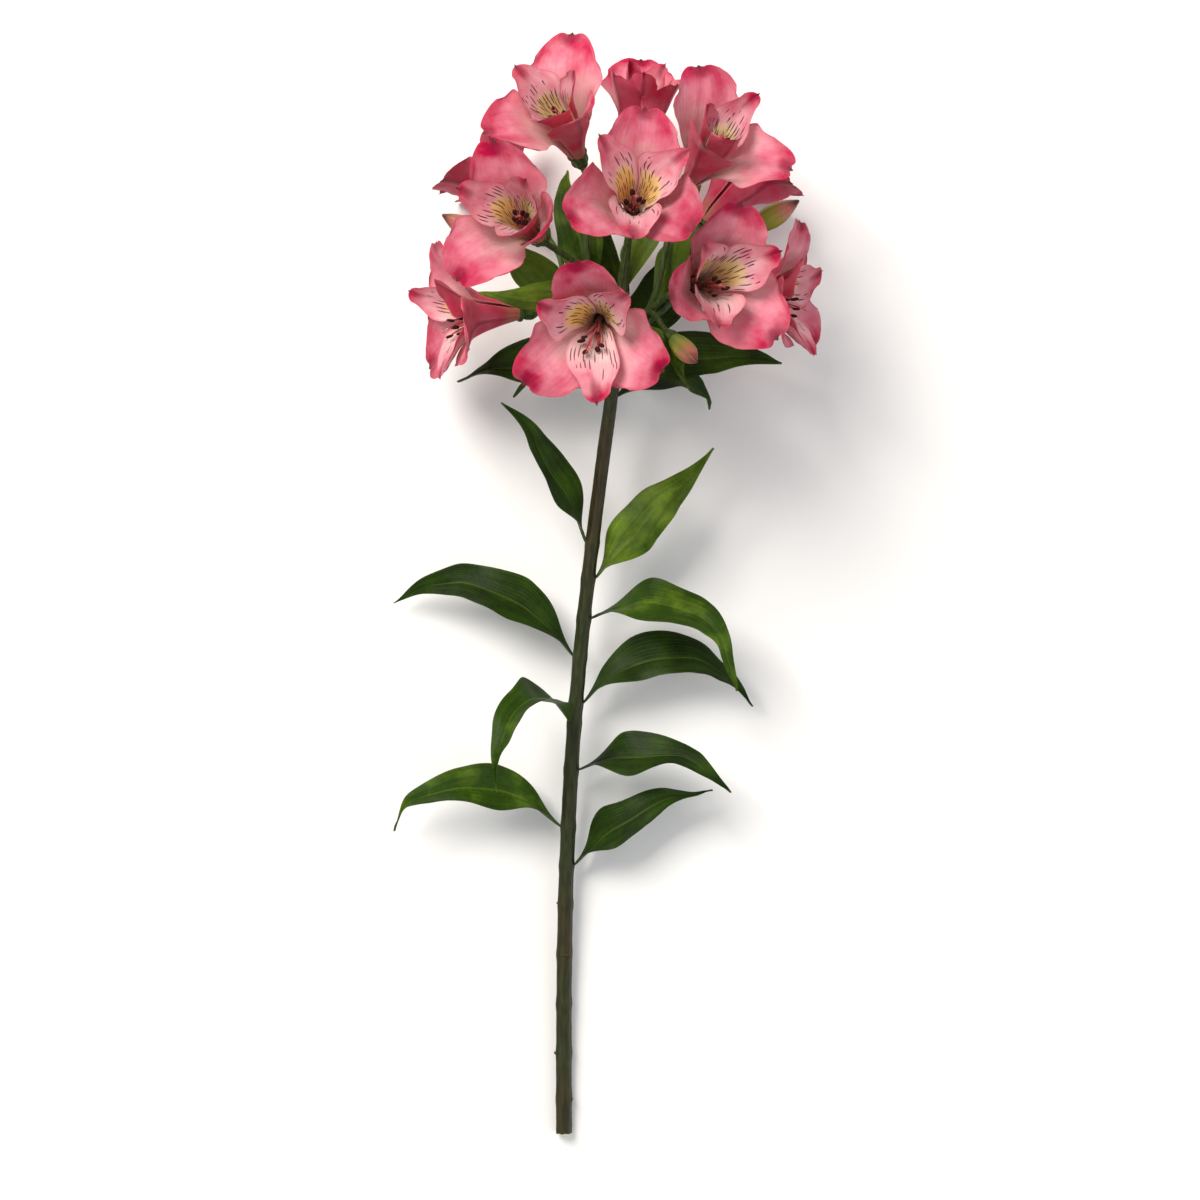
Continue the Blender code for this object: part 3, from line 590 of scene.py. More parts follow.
def tubeTree():
    tree, given, end = newTree("ribbedTube", (
        ("Ribs", "Float", 6.0), ("Sides", "Int", 24), ("Unevenness", "Float", 0.1 * mm),
        ("Seed", "Float", 1.0), ("Material", "Material", None),
    ))
    add = partial(addNode, tree)
    girth, ridge, ribbed = [add("InputNamedAttribute", {"Name": name}) for name in ("girth", "ridge", "rib")]
    place = add("InputPosition")
    normal = add("InputNormal")
    rail = add("MeshToCurve", {"Mesh": given["Geometry"]})
    reach = add("SplineParameter")
    for name, measure in (("run", "Length"), ("share", "Factor")):
        rail = add("StoreNamedAttribute", {"Geometry": rail, "Name": name,
                                           "Value": reach.outputs[measure]})
    ring = add("CurvePrimitiveCircle", {"Resolution": given["Sides"], "Radius": 1.0})
    turn = reach.outputs["Factor"]
    for factor in (given["Ribs"], 2 * math.pi):
        turn = add("Math MULTIPLY", turn, factor)
    rib = add("Math COSINE", turn)
    ring = add("StoreNamedAttribute", {"Geometry": ring, "Name": "rib", "Value": rib})
    skin = add("CurveToMesh", {"Curve": rail, "Profile Curve": ring, "Scale": girth, "Fill Caps": True})
    high = add("Math MULTIPLY", ribbed, ridge)
    rough = add("TexNoise", place, given["Seed"], 1 / tubeForm["roughSize"], 1.0, noise_dimensions="4D")
    rough = add("Math SUBTRACT", rough, 0.5)
    high = add("Math MULTIPLY_ADD", rough, given["Unevenness"], high)
    offset = add("VectorMath SCALE", normal, high)
    skin = add("SetPosition", {"Geometry": skin, "Offset": offset})
    skin = add("SetShadeSmooth", {"Geometry": skin, "Shade Smooth": True})
    bend = add("InputMeshEdgeAngle")
    sharp = add("Compare GREATER_THAN", bend, tubeForm["sharpEdge"])
    skin = add("SetShadeSmooth", {"Geometry": skin, "Selection": sharp, "Shade Smooth": False},
               domain="EDGE")
    return endTree(add, tree, skin, given, end)


# Grooved eggs, one on every point, turned along the point's own heading and a little uneven in size
def eggTree():
    tree, given, end = newTree("groovedEggs", (
        ("Length", "Float", 4.6 * mm), ("Width", "Float", 1.9 * mm), ("Groove", "Float", 0.3),
        ("Seed", "Int", 1), ("Material", "Material", None),
    ))
    add = partial(addNode, tree)
    egg = add("MeshUVSphere", {"Segments": 14, "Rings": 9, "Radius": 1.0})
    place = add("InputPosition")
    parts = add("SeparateXYZ", place)
    turn = add("Math ARCTAN2", parts.outputs[0], parts.outputs[1])
    lobes = add("Math MULTIPLY", turn, 2.0)
    lobes = add("Math COSINE", lobes)
    pull = add("Math MULTIPLY", lobes, given["Groove"])
    pull = add("Math SUBTRACT", 1.0, pull)
    slim = add("CombineXYZ", pull, pull, 1.0)
    shaped = add("VectorMath MULTIPLY", place, slim)
    egg = add("SetPosition", {"Geometry": egg, "Position": shaped})
    halfLength, halfWidth = [add("Math MULTIPLY", given[name], 0.5) for name in ("Length", "Width")]
    size = add("CombineXYZ", halfWidth, halfWidth, halfLength)
    egg = add("Transform", {"Geometry": egg, "Scale": size})
    egg = add("SetShadeSmooth", {"Geometry": egg, "Shade Smooth": True})
    heading = add("InputNamedAttribute", {"Name": "heading"}, data_type="FLOAT_VECTOR")
    turned = add("AlignRotationToVector", {"Vector": heading}, axis="Z")
    change = add("RandomValue", {"Min": 0.85, "Max": 1.12, "Seed": given["Seed"]})
    stood = add("InstanceOnPoints", {"Points": given["Geometry"], "Instance": egg, "Rotation": turned,
                                     "Scale": change})
    return endTree(add, tree, stood, given, end)


trees = dict(blade=bladeTree(), tube=tubeTree(), egg=eggTree())
print("trees made:", ", ".join(trees))


# A mesh with float attributes, one list of values for each name
def meshWith(name, points, edges, faces, values):
    mesh = bpy.data.meshes.new(name)
    mesh.from_pydata([partZero + point * mm for point in points], edges, faces)
    for label, numbers in values.items():
        layer = mesh.attributes.new(label, "FLOAT", "POINT")
        layer.data.foreach_set("value", numbers)
    return newObject(name, mesh)


# Thin blades in one finish. Each is (pointAt, tone), and pointAt gives the place of (across, along).
def thinBlades(name, surfaces, shape, finish, seed):
    columns, rows = shape["columns"], shape["rows"]
    points, faces = [], []
    values = dict(across=[], along=[], tone=[], rim=[])
    for pointAt, tone in surfaces:
        first = len(points)
        for row in range(rows + 1):
            share = row / rows
            for column in range(columns + 1):
                across = 2 * column / columns - 1
                points.append(pointAt(across, share))
                values["across"].append(across)
                values["along"].append(share)
                values["tone"].append(tone)
                values["rim"].append(float(row in (0, rows) or column in (0, columns)))
        for row in range(rows):
            for column in range(columns):
                corner = first + row * (columns + 1) + column
                cell = (corner, corner + columns + 1, corner + columns + 2, corner + 1)
                if row in (0, rows - 1) and column in (0, columns - 1):
                    # The four outermost cells are split from their corner, so front and back keep apart
                    turn = (row == 0) != (column == 0)
                    cell = cell[turn:] + cell[:turn]
                    faces += [cell[:3], (cell[0], cell[2], cell[3])]
                else:
                    faces.append(cell)
    return grown(meshWith(name, points, [], faces, values), trees["blade"], {
        "Thickness": shape["thickness"] * mm, "Ruffle Height": shape["ruffle"] * mm,
        "Ruffle Length": shape["ruffleLength"] * mm, "Vein Count": shape["veins"],
        "Vein Depth": shape["vein"] * mm, "Midrib Depth": shape["midrib"] * mm, "Seed": float(seed),
        "Material": finishes[finish],
    })


# Ribbed tubes in one finish. Each strand is (points, girths in mm, ridge heights in mm, youth).
def tubes(name, strands, finish, ribs, sides, rough, seed):
    points, edges = [], []
    values = dict(girth=[], ridge=[], youth=[])
    for strand, girths, ridges, youth in strands:
        first = len(points)
        points += strand
        edges += [(first + number, first + number + 1) for number in range(len(strand) - 1)]
        values["girth"] += [girth * mm for girth in girths]
        values["ridge"] += [ridge * mm for ridge in ridges]
        values["youth"] += [youth] * len(strand)
    return grown(meshWith(name, points, edges, [], values), trees["tube"], {
        "Ribs": ribs, "Sides": sides, "Unevenness": rough * mm, "Seed": seed,
        "Material": finishes[finish],
    })


# Grooved eggs in one finish, one on each (place, heading)
def eggs(name, spots, finish, length, width, groove, seed):
    made = meshWith(name, [place for place, _ in spots], [], [], {})
    layer = made.data.attributes.new("heading", "FLOAT_VECTOR", "POINT")
    layer.data.foreach_set("vector", [number for _, heading in spots for number in heading])
    return grown(made, trees["egg"], {
        "Length": length * mm, "Width": width * mm, "Groove": groove, "Seed": seed,
        "Material": finishes[finish],
    })


def curvePoints(start, startPull, endPull, end, count):
    points = []
    for number in range(count):
        t = number / (count - 1)
        points.append(start * (1 - t) ** 3 + startPull * 3 * t * (1 - t) ** 2
                      + endPull * 3 * t * t * (1 - t) + end * t ** 3)
    return points


# A slim hump of height 1, with its top at 0
def hump(distance, width):
    return math.exp(-((distance / width) ** 2))


# One dictionary for each row of a table
def rowsOf(columns, *table):
    return [dict(zip(columns.split(), row)) for row in table]


# Main stem and whorl. A share runs from the cut end to the whorl.

stem = dict(
    cutEnd=Vector((-20, -249, 0)), whorl=Vector((4, 103, 44)), bow=-8, risePower=1.6, points=190,
    radiusCut=3.6, radiusTop=2.9, whorlRadius=4.2, whorlSwells=(0.972, 0.995), solidSides=10,
    solidGap=0.3, dome=((1.4, 0.97), (2.6, 0.86), (3.5, 0.66), (4.0, 0.35)), ridge=0.16,
    ridgeFades=(0.93, 1.0), kneeHeight=0.34, kneeLength=2.6, kneesEnd=0.94,
    skin=dict(ribs=7, sides=42, rough=0.5, seed=3.0),
)
rays = dict(
    reach=0.52, sunk=1.5, pulls=(0.22, 0.35), points=26, foot=2.75, radius=1.9, fork=2.3,
    thins=(0, 0.35), swells=(0.86, 0.98), dome=((0.9, 0.94), (1.6, 0.72), (2.0, 0.4)), ridge=0.07,
    youth=0.45, skin=dict(ribs=5.0, sides=20, rough=0.25, seed=3.0),
)
pedicels = dict(points=24, foot=1.75, radius=1.35, thins=(0, 0.3), pulls=(0.2, 0.4), ridge=0.04,
                youth=0.75)
ovaries = dict(
    length=9, radius=3.7, underBud=0.78, points=16, sunk=0.6, swells=(0, 0.62), swellPower=0.8,
    neck=0.35, neckFrom=0.72, ridge=0.34, ridgeFrom=(0.1, 0.5), ridgeFades=(0.85, 1), ridgeLoss=0.6,
    youth=0.9, skin=dict(ribs=6.0, sides=36, rough=0.1, seed=3.0),
)
scars = dict(at=(0.045, 0.105, 0.17, 0.235, 0.30), first=30, turn=137.5, stands=0.1,
             shape=dict(length=4.2, width=1.3, groove=0.12, seed=5))

# Open blooms: ray, place of the ovary's top from the whorl, facing direction, roll in degrees, how far
# open and how large
blooms = rowsOf(
    "ray base face roll open size",
    ("left", (-42, 20, -1), (-0.92, -0.10, 0.37), -6, 1.0, 1.12),
    ("left", (-36, 60, -15), (-0.64, 0.74, -0.14), 4, 0.92, 1.08),
    ("front_left", (-34, 48, 40), (-0.24, 0.12, 0.96), -14, 1.0, 1.22),
    ("front_left", (-17, 84, 31), (-0.24, 0.44, 0.87), 5, 0.98, 1.18),
    ("front", (-7, 13, 46), (-0.12, -0.26, 0.96), -5, 1.0, 1.2),
    ("front", (6, 54, 54), (0.06, 0.20, 0.98), 7, 1.0, 1.22),
    ("front_right", (32, 27, 41), (0.28, -0.04, 0.96), 12, 1.0, 1.2),
    ("front_right", (31, 72, 31), (0.32, 0.40, 0.86), -8, 0.98, 1.16),
    ("right", (46, 25, 0), (0.94, 0.02, 0.34), 8, 1.0, 1.12),
    ("right", (37, 60, -15.5), (0.66, 0.74, -0.12), -4, 0.92, 1.1),
    ("back", (8, 82, 6), (0.05, 0.80, 0.60), 3, 0.9, 1.1),
)
# Closed buds stand on ovaries too
buds = rowsOf(
    "ray base face length radius",
    ("left", (-57, 50, 16), (-0.84, 0.42, 0.34), 22, 4.8),
    ("front_right", (25, 4, 33), (0.42, -0.52, 0.74), 20, 4.6),
    ("right", (60, 55, 19), (0.84, 0.46, 0.30), 22, 5.0),
)

# Leaves: place along the stem, side of it, length, half width, rise from the stem at base and tip,
# twist, height of the waves at the margin, and sweep. Angles are in degrees.
leafColumns = "at around length halfWidth rise twist wave sweep"
whorlLeaves = rowsOf(
    leafColumns,
    (0.972, 6, 74, 11.5, (58, 98), 58, 2.0, 0),
    (0.975, 302, 96, 12.5, (30, 55), 30, 1.4, 0),
    (0.975, 232, 96, 12.5, (26, 20), -30, 1.4, 0),
    (0.968, 186, 70, 11.5, (76, 122), -56, 2.0, 0),
    (0.948, 220, 60, 9.5, (62, 134), -30, 1.5, 0),
    (0.950, -34, 62, 9.5, (60, 124), 34, 1.5, 0),
)
stemLeaves = rowsOf(
    leafColumns,
    (0.350, 8, 74, 9.0, (42, 74), 62, 1.8, 0),
    (0.400, 170, 92, 10.0, (52, 128), -56, 2.2, 0),
    (0.475, 20, 80, 9.5, (62, 116), 50, 2.2, 0),
    (0.535, 118, 92, 11.0, (46, 176), -10, 1.6, -8),
    (0.560, -2, 96, 10.5, (36, 142), 56, 2.2, 0),
    (0.620, 188, 98, 11.0, (44, 112), -64, 2.4, 0),
    (0.670, 26, 92, 11.0, (58, 150), 44, 2.0, 0),
    (0.720, -4, 80, 11.5, (34, 40), 64, 2.0, 0),
    (0.765, 166, 74, 9.5, (26, 46), -58, 1.8, 0),
)
# Leafy bracts where the rays fork: ray, side, length, half width, and rise from the ray
bracts = rowsOf(
    "ray side length halfWidth rise",
    ("front_left", (0.03, 0.44, -0.90), 62, 10, (22, 60)),
    ("front", (-1.0, 0.04, -0.06), 62, 10, (60, 95)),
    ("left", (-0.04, 0.04, 1.0), 62, 10, (30, 45)),
    ("right", (-0.48, 0.57, 0.67), 62, 10, (40, 20)),
    ("front_right", (0.30, -0.78, 0.55), 50, 9, (60, 95)),
    ("back", (0.58, -0.07, -0.81), 62, 10, (30, 45)),
)


# Where a bloom or bud begins, and which way it looks
def baseOf(spec):
    return stem["whorl"] + Vector(spec["base"])


def axisOf(spec):
    return Vector(spec["face"]).normalized()


# Axes of a bloom or bud: X is twelve o'clock, Z looks out of the face
def axesOf(spec):
    turn = math.radians(spec.get("roll", 0))
    up = Vector((math.sin(turn), math.cos(turn), 0))
    z = axisOf(spec)
    x = (up - z * up.dot(z)).normalized()
    return Matrix((x, z.cross(x), z)).transposed()


# The stem's solid lies on one of its sides at the cut end, and its middle line rises to the whorl
def stemPoint(share):
    low = stem["radiusCut"] * math.cos(math.pi / stem["solidSides"])
    return Vector((
        mix(stem["cutEnd"].x, stem["whorl"].x, share) + stem["bow"] * math.sin(math.pi * share),
        mix(stem["cutEnd"].y, stem["whorl"].y, share),
        low + (stem["whorl"].z - low) * max(0, share) ** stem["risePower"],
    ))


def stemTangent(share):
    return (stemPoint(share + 0.01) - stemPoint(share - 0.01)).normalized()


def stemRadius(share):
    return mix(stem["radiusCut"], stem["radiusTop"], share)


# A direction made square to another one
def squareTo(along, out):
    return (out - along * out.dot(along)).normalized()


def ovaryFoot(spec):
    return baseOf(spec) - axisOf(spec) * ovaries["length"]


def rayFork(ray):
    members = [spec for spec in blooms + buds if spec["ray"] == ray]
    middle = sum((ovaryFoot(spec) for spec in members), Vector()) / len(members)
    return mix(stem["whorl"], middle, rays["reach"])


def rayPath(ray, count):
    fork = rayFork(ray)
    run = fork - stem["whorl"]
    forwards = stemTangent(0.99)
    startPull, endPull = rays["pulls"]
    return curvePoints(stem["whorl"] - forwards * rays["sunk"],
                       stem["whorl"] + (forwards + run.normalized()) * run.length * startPull,
                       fork - run * endPull, fork, count)


# Closes a strand with a dome, given as (distance onwards, share of the radius)
def domed(points, girths, end, onward, radius, dome):
    for on, wide in dome:
        points.append(end + onward * on)
        girths.append(radius * wide)


def mainStrand():
    places = [leaf["at"] for leaf in whorlLeaves + stemLeaves] + list(scars["at"])
    length = stem["whorl"].y - stem["cutEnd"].y
    swelling = stem["whorlRadius"] - stem["radiusTop"]
    points, girths = [], []
    for number in range(stem["points"]):
        share = number / (stem["points"] - 1)
        girth = stemRadius(share) + swelling * smooth(*stem["whorlSwells"], share)
        if share < stem["kneesEnd"]:
            for at in places:   # a slight knee wherever a leaf stands or stood
                girth += stem["kneeHeight"] * hump((share - at) * length, stem["kneeLength"])
        points.append(stemPoint(share))
        girths.append(girth)
    domed(points, girths, stem["whorl"], stemTangent(0.99), stem["whorlRadius"], stem["dome"])
    ridges = [stem["ridge"] * (1 - smooth(*stem["ridgeFades"], min(1, number / stem["points"])))
              for number in range(len(points))]
    return points, girths, ridges, 0.0


def rayStrand(ray):
    count = rays["points"]
    points = rayPath(ray, count)
    swelling = rays["fork"] - rays["radius"]
    girths = []
    for number in range(count):
        share = number / (count - 1)
        girths.append(mix(rays["foot"], rays["radius"], smooth(*rays["thins"], share))
                      + swelling * smooth(*rays["swells"], share))
    domed(points, girths, points[-1], (points[-1] - points[-2]).normalized(), rays["fork"], rays["dome"])
    return points, girths, [rays["ridge"]] * len(points), rays["youth"]


def pedicelStrand(spec):
    fork, foot = rayFork(spec["ray"]), ovaryFoot(spec)
    run = foot - fork
    before = (fork - stem["whorl"]).normalized()
    count = pedicels["points"]
    startPull, endPull = pedicels["pulls"]
    points = curvePoints(fork, fork + (before + run.normalized()) * run.length * startPull,
                         foot - axisOf(spec) * run.length * endPull, foot, count)
    girths = [mix(pedicels["foot"], pedicels["radius"], smooth(*pedicels["thins"], n / (count - 1)))
              for n in range(count)]
    return points, girths, [pedicels["ridge"]] * count, pedicels["youth"]


# The ovary under a bloom: a ribbed cup, smaller under a bud
def ovaryStrand(spec):
    size = 1.0 if spec in blooms else ovaries["underBud"]
    foot, axis = ovaryFoot(spec), axisOf(spec)
    points, girths, ridges = [], [], []
    for number in range(ovaries["points"]):
        share = number / (ovaries["points"] - 1)
        points.append(foot + axis * (ovaries["length"] * share - ovaries["sunk"] * (1 - share)))
        girth = mix(pedicels["radius"], ovaries["radius"] * size,
                    smooth(*ovaries["swells"], share) ** ovaries["swellPower"])
        girths.append(girth - ovaries["neck"] * size * smooth(ovaries["neckFrom"], 1, share))
        fade = 1 - ovaries["ridgeLoss"] * smooth(*ovaries["ridgeFades"], share)
        ridges.append(ovaries["ridge"] * size * smooth(*ovaries["ridgeFrom"], share) * fade)
    return points, girths, ridges, ovaries["youth"]


def buildStem():
    shoots = [rayStrand(ray) for ray in dict.fromkeys(spec["ray"] for spec in blooms)]
    shoots += [pedicelStrand(spec) for spec in blooms + buds]
    # Scars of fallen leaves on the bare length
    spots = []
    for number, share in enumerate(scars["at"]):
        along = stemTangent(share)
        turn = math.radians(scars["first"] + scars["turn"] * number)
        out = squareTo(along, Vector((math.cos(turn), 0, math.sin(turn))))
        spots.append((stemPoint(share) + out * (stemRadius(share) + scars["stands"]), along.cross(out)))
    seated("stem_green", "stem", [
        tubes("mainStem", [mainStrand()], "stem", **stem["skin"]),
        tubes("rays", shoots, "stem", **rays["skin"]),
        tubes("ovaries", [ovaryStrand(spec) for spec in blooms + buds], "stem", **ovaries["skin"]),
        eggs("scars", spots, "scar", **scars["shape"]),
    ])


buildStem()
print("stem, rays, pedicels and ovaries grown")


# Blades grow along a spine, and are pressed back from the walls between blooms and from the surface.
# A wall is (point, outward direction, gap, free). A blade keeps the gap, and also the part of its own
# inset that is over free.

blades = dict(steps=40, softness=3, bend=3.2, bendSize=21, bendFrom=(6, 34))
surfaceWall = (Vector((0, 0, 0)), Vector((0, 0, -1)), 0.075, 1.2)


def roomTo(wall, place, inset):
    point, outward, gap, free = wall
    return (point - place).dot(outward) - gap - max(0, inset - free)


def pressed(place, walls, inset):
    near = blades["softness"]
    for wall in walls:
        inside = roomTo(wall, place, inset)
        if inside < near:
            place = place + wall[1] * (inside - near * math.exp((inside - near) / near))
    return place


def spine(start, axis, outward, angleAt, turnAt, length):
    place = start.copy()
    side = axis.cross(outward).normalized()
    stations = []
    for number in range(blades["steps"] + 1):
        share = number / blades["steps"]
        angle = angleAt(share)
        direction = axis * math.cos(angle) + outward * math.sin(angle)
        sweep, twist = turnAt(share)
        direction = Matrix.Rotation(sweep, 3, direction.cross(side).normalized()) @ direction
        across = squareTo(direction, Matrix.Rotation(twist, 3, direction) @ side)
        stations.append((place.copy(), direction, across, direction.cross(across)))
        place = place + direction * (length / blades["steps"])
    return stations


def stationAt(stations, share):
    steps = blades["steps"]
    whole = min(steps - 1, max(0, int(share * steps)))
    part = share * steps - whole
    place, along, across, face = (mix(a, b, part) for a, b in zip(stations[whole], stations[whole + 1]))
    return place, along.normalized(), across.normalized(), face.normalized()


# Slow bends that the whole plant shares, so that layers and neighbours keep their order
def swayed(place, root):
    far = smooth(*blades["bendFrom"], (place - root).length)
    return place + noise.noise_vector(place / blades["bendSize"]) * (blades["bend"] * far)


# The tepals of a bloom: three broad outer ones, two marked upper inner ones and a lower inner one.
# Lengths are in millimetres and the flare at foot and tip in degrees.

tepalSheet = dict(thickness=0.55, ruffleLength=10, veins=10.0, vein=0.09)
innerTepal = dict(tepalSheet, claw=2.7, rootRadius=2.1, shoulder=3.0, notch=0.0, point=1.1, cup=0.8,
                  columns=20, rows=44, ruffle=0.8, midrib=0.4)
tepalKinds = dict(
    outer=dict(tepalSheet, length=46, halfWidth=15.5, claw=4.4, rootRadius=3.4, flare=(12, 90),
               narrow=0.34, shoulder=9.5, notch=2.4, point=1.8, cup=1.6, columns=26, rows=46, ruffle=1.3,
               midrib=0.5),
    upper=dict(innerTepal, length=44, halfWidth=9.0, flare=(6, 58), narrow=0.78),
    lower=dict(innerTepal, length=45, halfWidth=10.0, flare=(6, 74), narrow=0.74),
)
# The form that all of them share, in shares of the length and of the half width
tepalForm = dict(
    root=1.0, flarePower=1.6, broadens=(0.08, 0.70), narrowsFrom=0.74, shoulderPower=2.4,
    shoulderFrom=0.55, notchWidth=0.24, notchFrom=0.82, pointWidth=0.075, pointFrom=0.93,
    cupFrom=(0.5, 0.9), leastTilt=0.05,
)
# Clock from twelve in degrees, kind, how far the tepal keeps inside the ones over it in millimetres,
# and how far each half of it may wrap the throat in degrees
tepals = (
    (0, "outer", 0.0, 69), (124, "outer", 0.6, 52), (-124, "outer", 1.2, 52),
    (52, "upper", 2.4, 50), (-52, "upper", 3.3, 50), (180, "lower", 3.6, 64),
)
# How blooms make room: the middle of one, its gap to a neighbour, and how a flare closes until it fits
crowding = dict(middle=24, gap=0.75, tipRoom=1, floorYield=8, layerLean=math.radians(9), beside=0.2,
                leastFlare=math.radians(16), flareStep=math.radians(2))
footRing = dict(length=2.6, girths=(4.0, 4.35, 4.45, 4.4, 4.2, 3.6), ridge=0.2,
                skin=dict(ribs=6.0, sides=36, rough=0.1, seed=1.0))


def bloomMiddle(bloom):
    return baseOf(bloom) + axisOf(bloom) * crowding["middle"]


def bloomWalls(bloom):
    walls = [surfaceWall]
    middle = bloomMiddle(bloom)
    for other in blooms:
        if other is not bloom:
            between = bloomMiddle(other) - middle
            walls.append((middle + between / 2, between.normalized(), crowding["gap"], 0))
    return walls


def tepalSpine(bloom, clock, kind, last):
    axis = axisOf(bloom)
    angle = math.radians(clock)
    outward = axesOf(bloom) @ Vector((math.cos(angle), math.sin(angle), 0))
    first = math.radians(kind["flare"][0])
    return spine(baseOf(bloom) + axis * tepalForm["root"] + outward * kind["rootRadius"], axis, outward,
                 lambda share: mix(first, last, share ** tepalForm["flarePower"]), lambda share: (0, 0),
                 kind["length"] * bloom["size"])


# Each tepal opens as far as the walls allow, an inner one no further than the outer ones beside it
def tepalFlares(bloom, walls):
    flares = {}
    point, down, gap, free = surfaceWall
    walls = [(point + down * crowding["floorYield"], down, gap, free), *walls[1:]]
    for clock, name, inset, _ in tepals:
        kind = tepalKinds[name]
        last = math.radians(mix(*kind["flare"], bloom["open"]))
        if name != "outer":
            over = [flares[other] for other, found, _, _ in tepals
                    if found == "outer" and math.cos(math.radians(other - clock)) > crowding["beside"]]
            last = min([last, *(flare - crowding["layerLean"] for flare in over)])
        while last > crowding["leastFlare"]:
            stations = tepalSpine(bloom, clock, kind, last)
            room = min(roomTo(wall, station[0], inset) for station in stations for wall in walls)
            if room > crowding["tipRoom"]:
                break
            last -= crowding["flareStep"]
        flares[clock] = last
    return flares


def tepalSurface(bloom, clock, kind, inset, mostWrap, last, walls):
    base, axis = baseOf(bloom), axisOf(bloom)
    stations = tepalSpine(bloom, clock, kind, last)
    form = tepalForm

    def pointAt(across, share):
        back = kind["shoulder"] * abs(across) ** form["shoulderPower"]
        back *= smooth(form["shoulderFrom"], 1, share)
        back += kind["notch"] * hump(across, form["notchWidth"]) * smooth(form["notchFrom"], 1, share)
        back -= kind["point"] * hump(across, form["pointWidth"]) * smooth(form["pointFrom"], 1, share)
        place, along, side, face = stationAt(stations, share - back / kind["length"])
        narrowing = 1 - kind["narrow"] * smooth(form["narrowsFrom"], 1.0, share)
        halfWidth = mix(kind["claw"], kind["halfWidth"], smooth(*form["broadens"], share) * narrowing)
        halfWidth *= bloom["size"]
        # The blade is rolled round the axis of the bloom, as far as its wrap allows
        fromAxis = place - base
        reach = (fromAxis - axis * fromAxis.dot(axis)).length
        tilt = max(form["leastTilt"], along.dot(axis))
        wrap = math.atan(math.tan(math.radians(mostWrap)) * tilt)
        arc = across * min(halfWidth * tilt / reach, wrap)
        place = place + (side * math.sin(arc) + face * (1 - math.cos(arc))) * reach / tilt
        place = place + face * kind["cup"] * across * across * smooth(*form["cupFrom"], share)
        return swayed(pressed(place, walls, inset), base)

    return pointAt


def buildBloom(number, bloom):
    walls = bloomWalls(bloom)
    flares = tepalFlares(bloom, walls)
    dice = random.Random(100 + number)
    parts = []
    for name, kind in tepalKinds.items():
        surfaces = [(tepalSurface(bloom, clock, kind, inset, wrap, flares[clock], walls), dice.random())
                    for clock, found, inset, wrap in tepals if found == name]
        parts.append(thinBlades(f"{name}{number}", surfaces, kind, name + "Tepal", number))
    # The short green ring at the foot, where the tepals join
    girths = footRing["girths"]
    ring = [baseOf(bloom) + axisOf(bloom) * (stem["solidGap"] + footRing["length"] * n / (len(girths) - 1))
            for n in range(len(girths))]
    strand = (ring, girths, [footRing["ridge"]] * len(girths), 1.0)
    parts.append(tubes(f"foot{number}", [strand], "stem", **footRing["skin"]))
    seated(f"tepals_{number}", f"bloom_{number}_tepals", parts)
    return walls, flares


# Six stamens and the style lean towards six o'clock. Every stop of the path has its share of the droop
# and its share of the height, and the tips spread more sideways than down.

stamens = dict(
    ring=0.85, girth=0.42, thins=(1.25, 0.8), reach=29, shorter=0.1, styleReach=1.08, foot=2.6, droop=5,
    path=((0.15, 0.45), (0.75, 0.78), (1.15, 1)), spread=(1.6, 4.6), sideways=0.6, inset=6, points=22,
    skin=dict(ribs=3.0, sides=10, rough=0.1, seed=2.0), anther=dict(length=4.2, width=1.8, groove=0.28),
    antherOn=0.6, antherAlong=0.8, antherLean=(0.25, 0.15), stigma=3.0, stigmaOut=1.5, stigmaTurn=2.1,
    stigmaGirths=(0.3, 0.28, 0.25, 0.15),
)


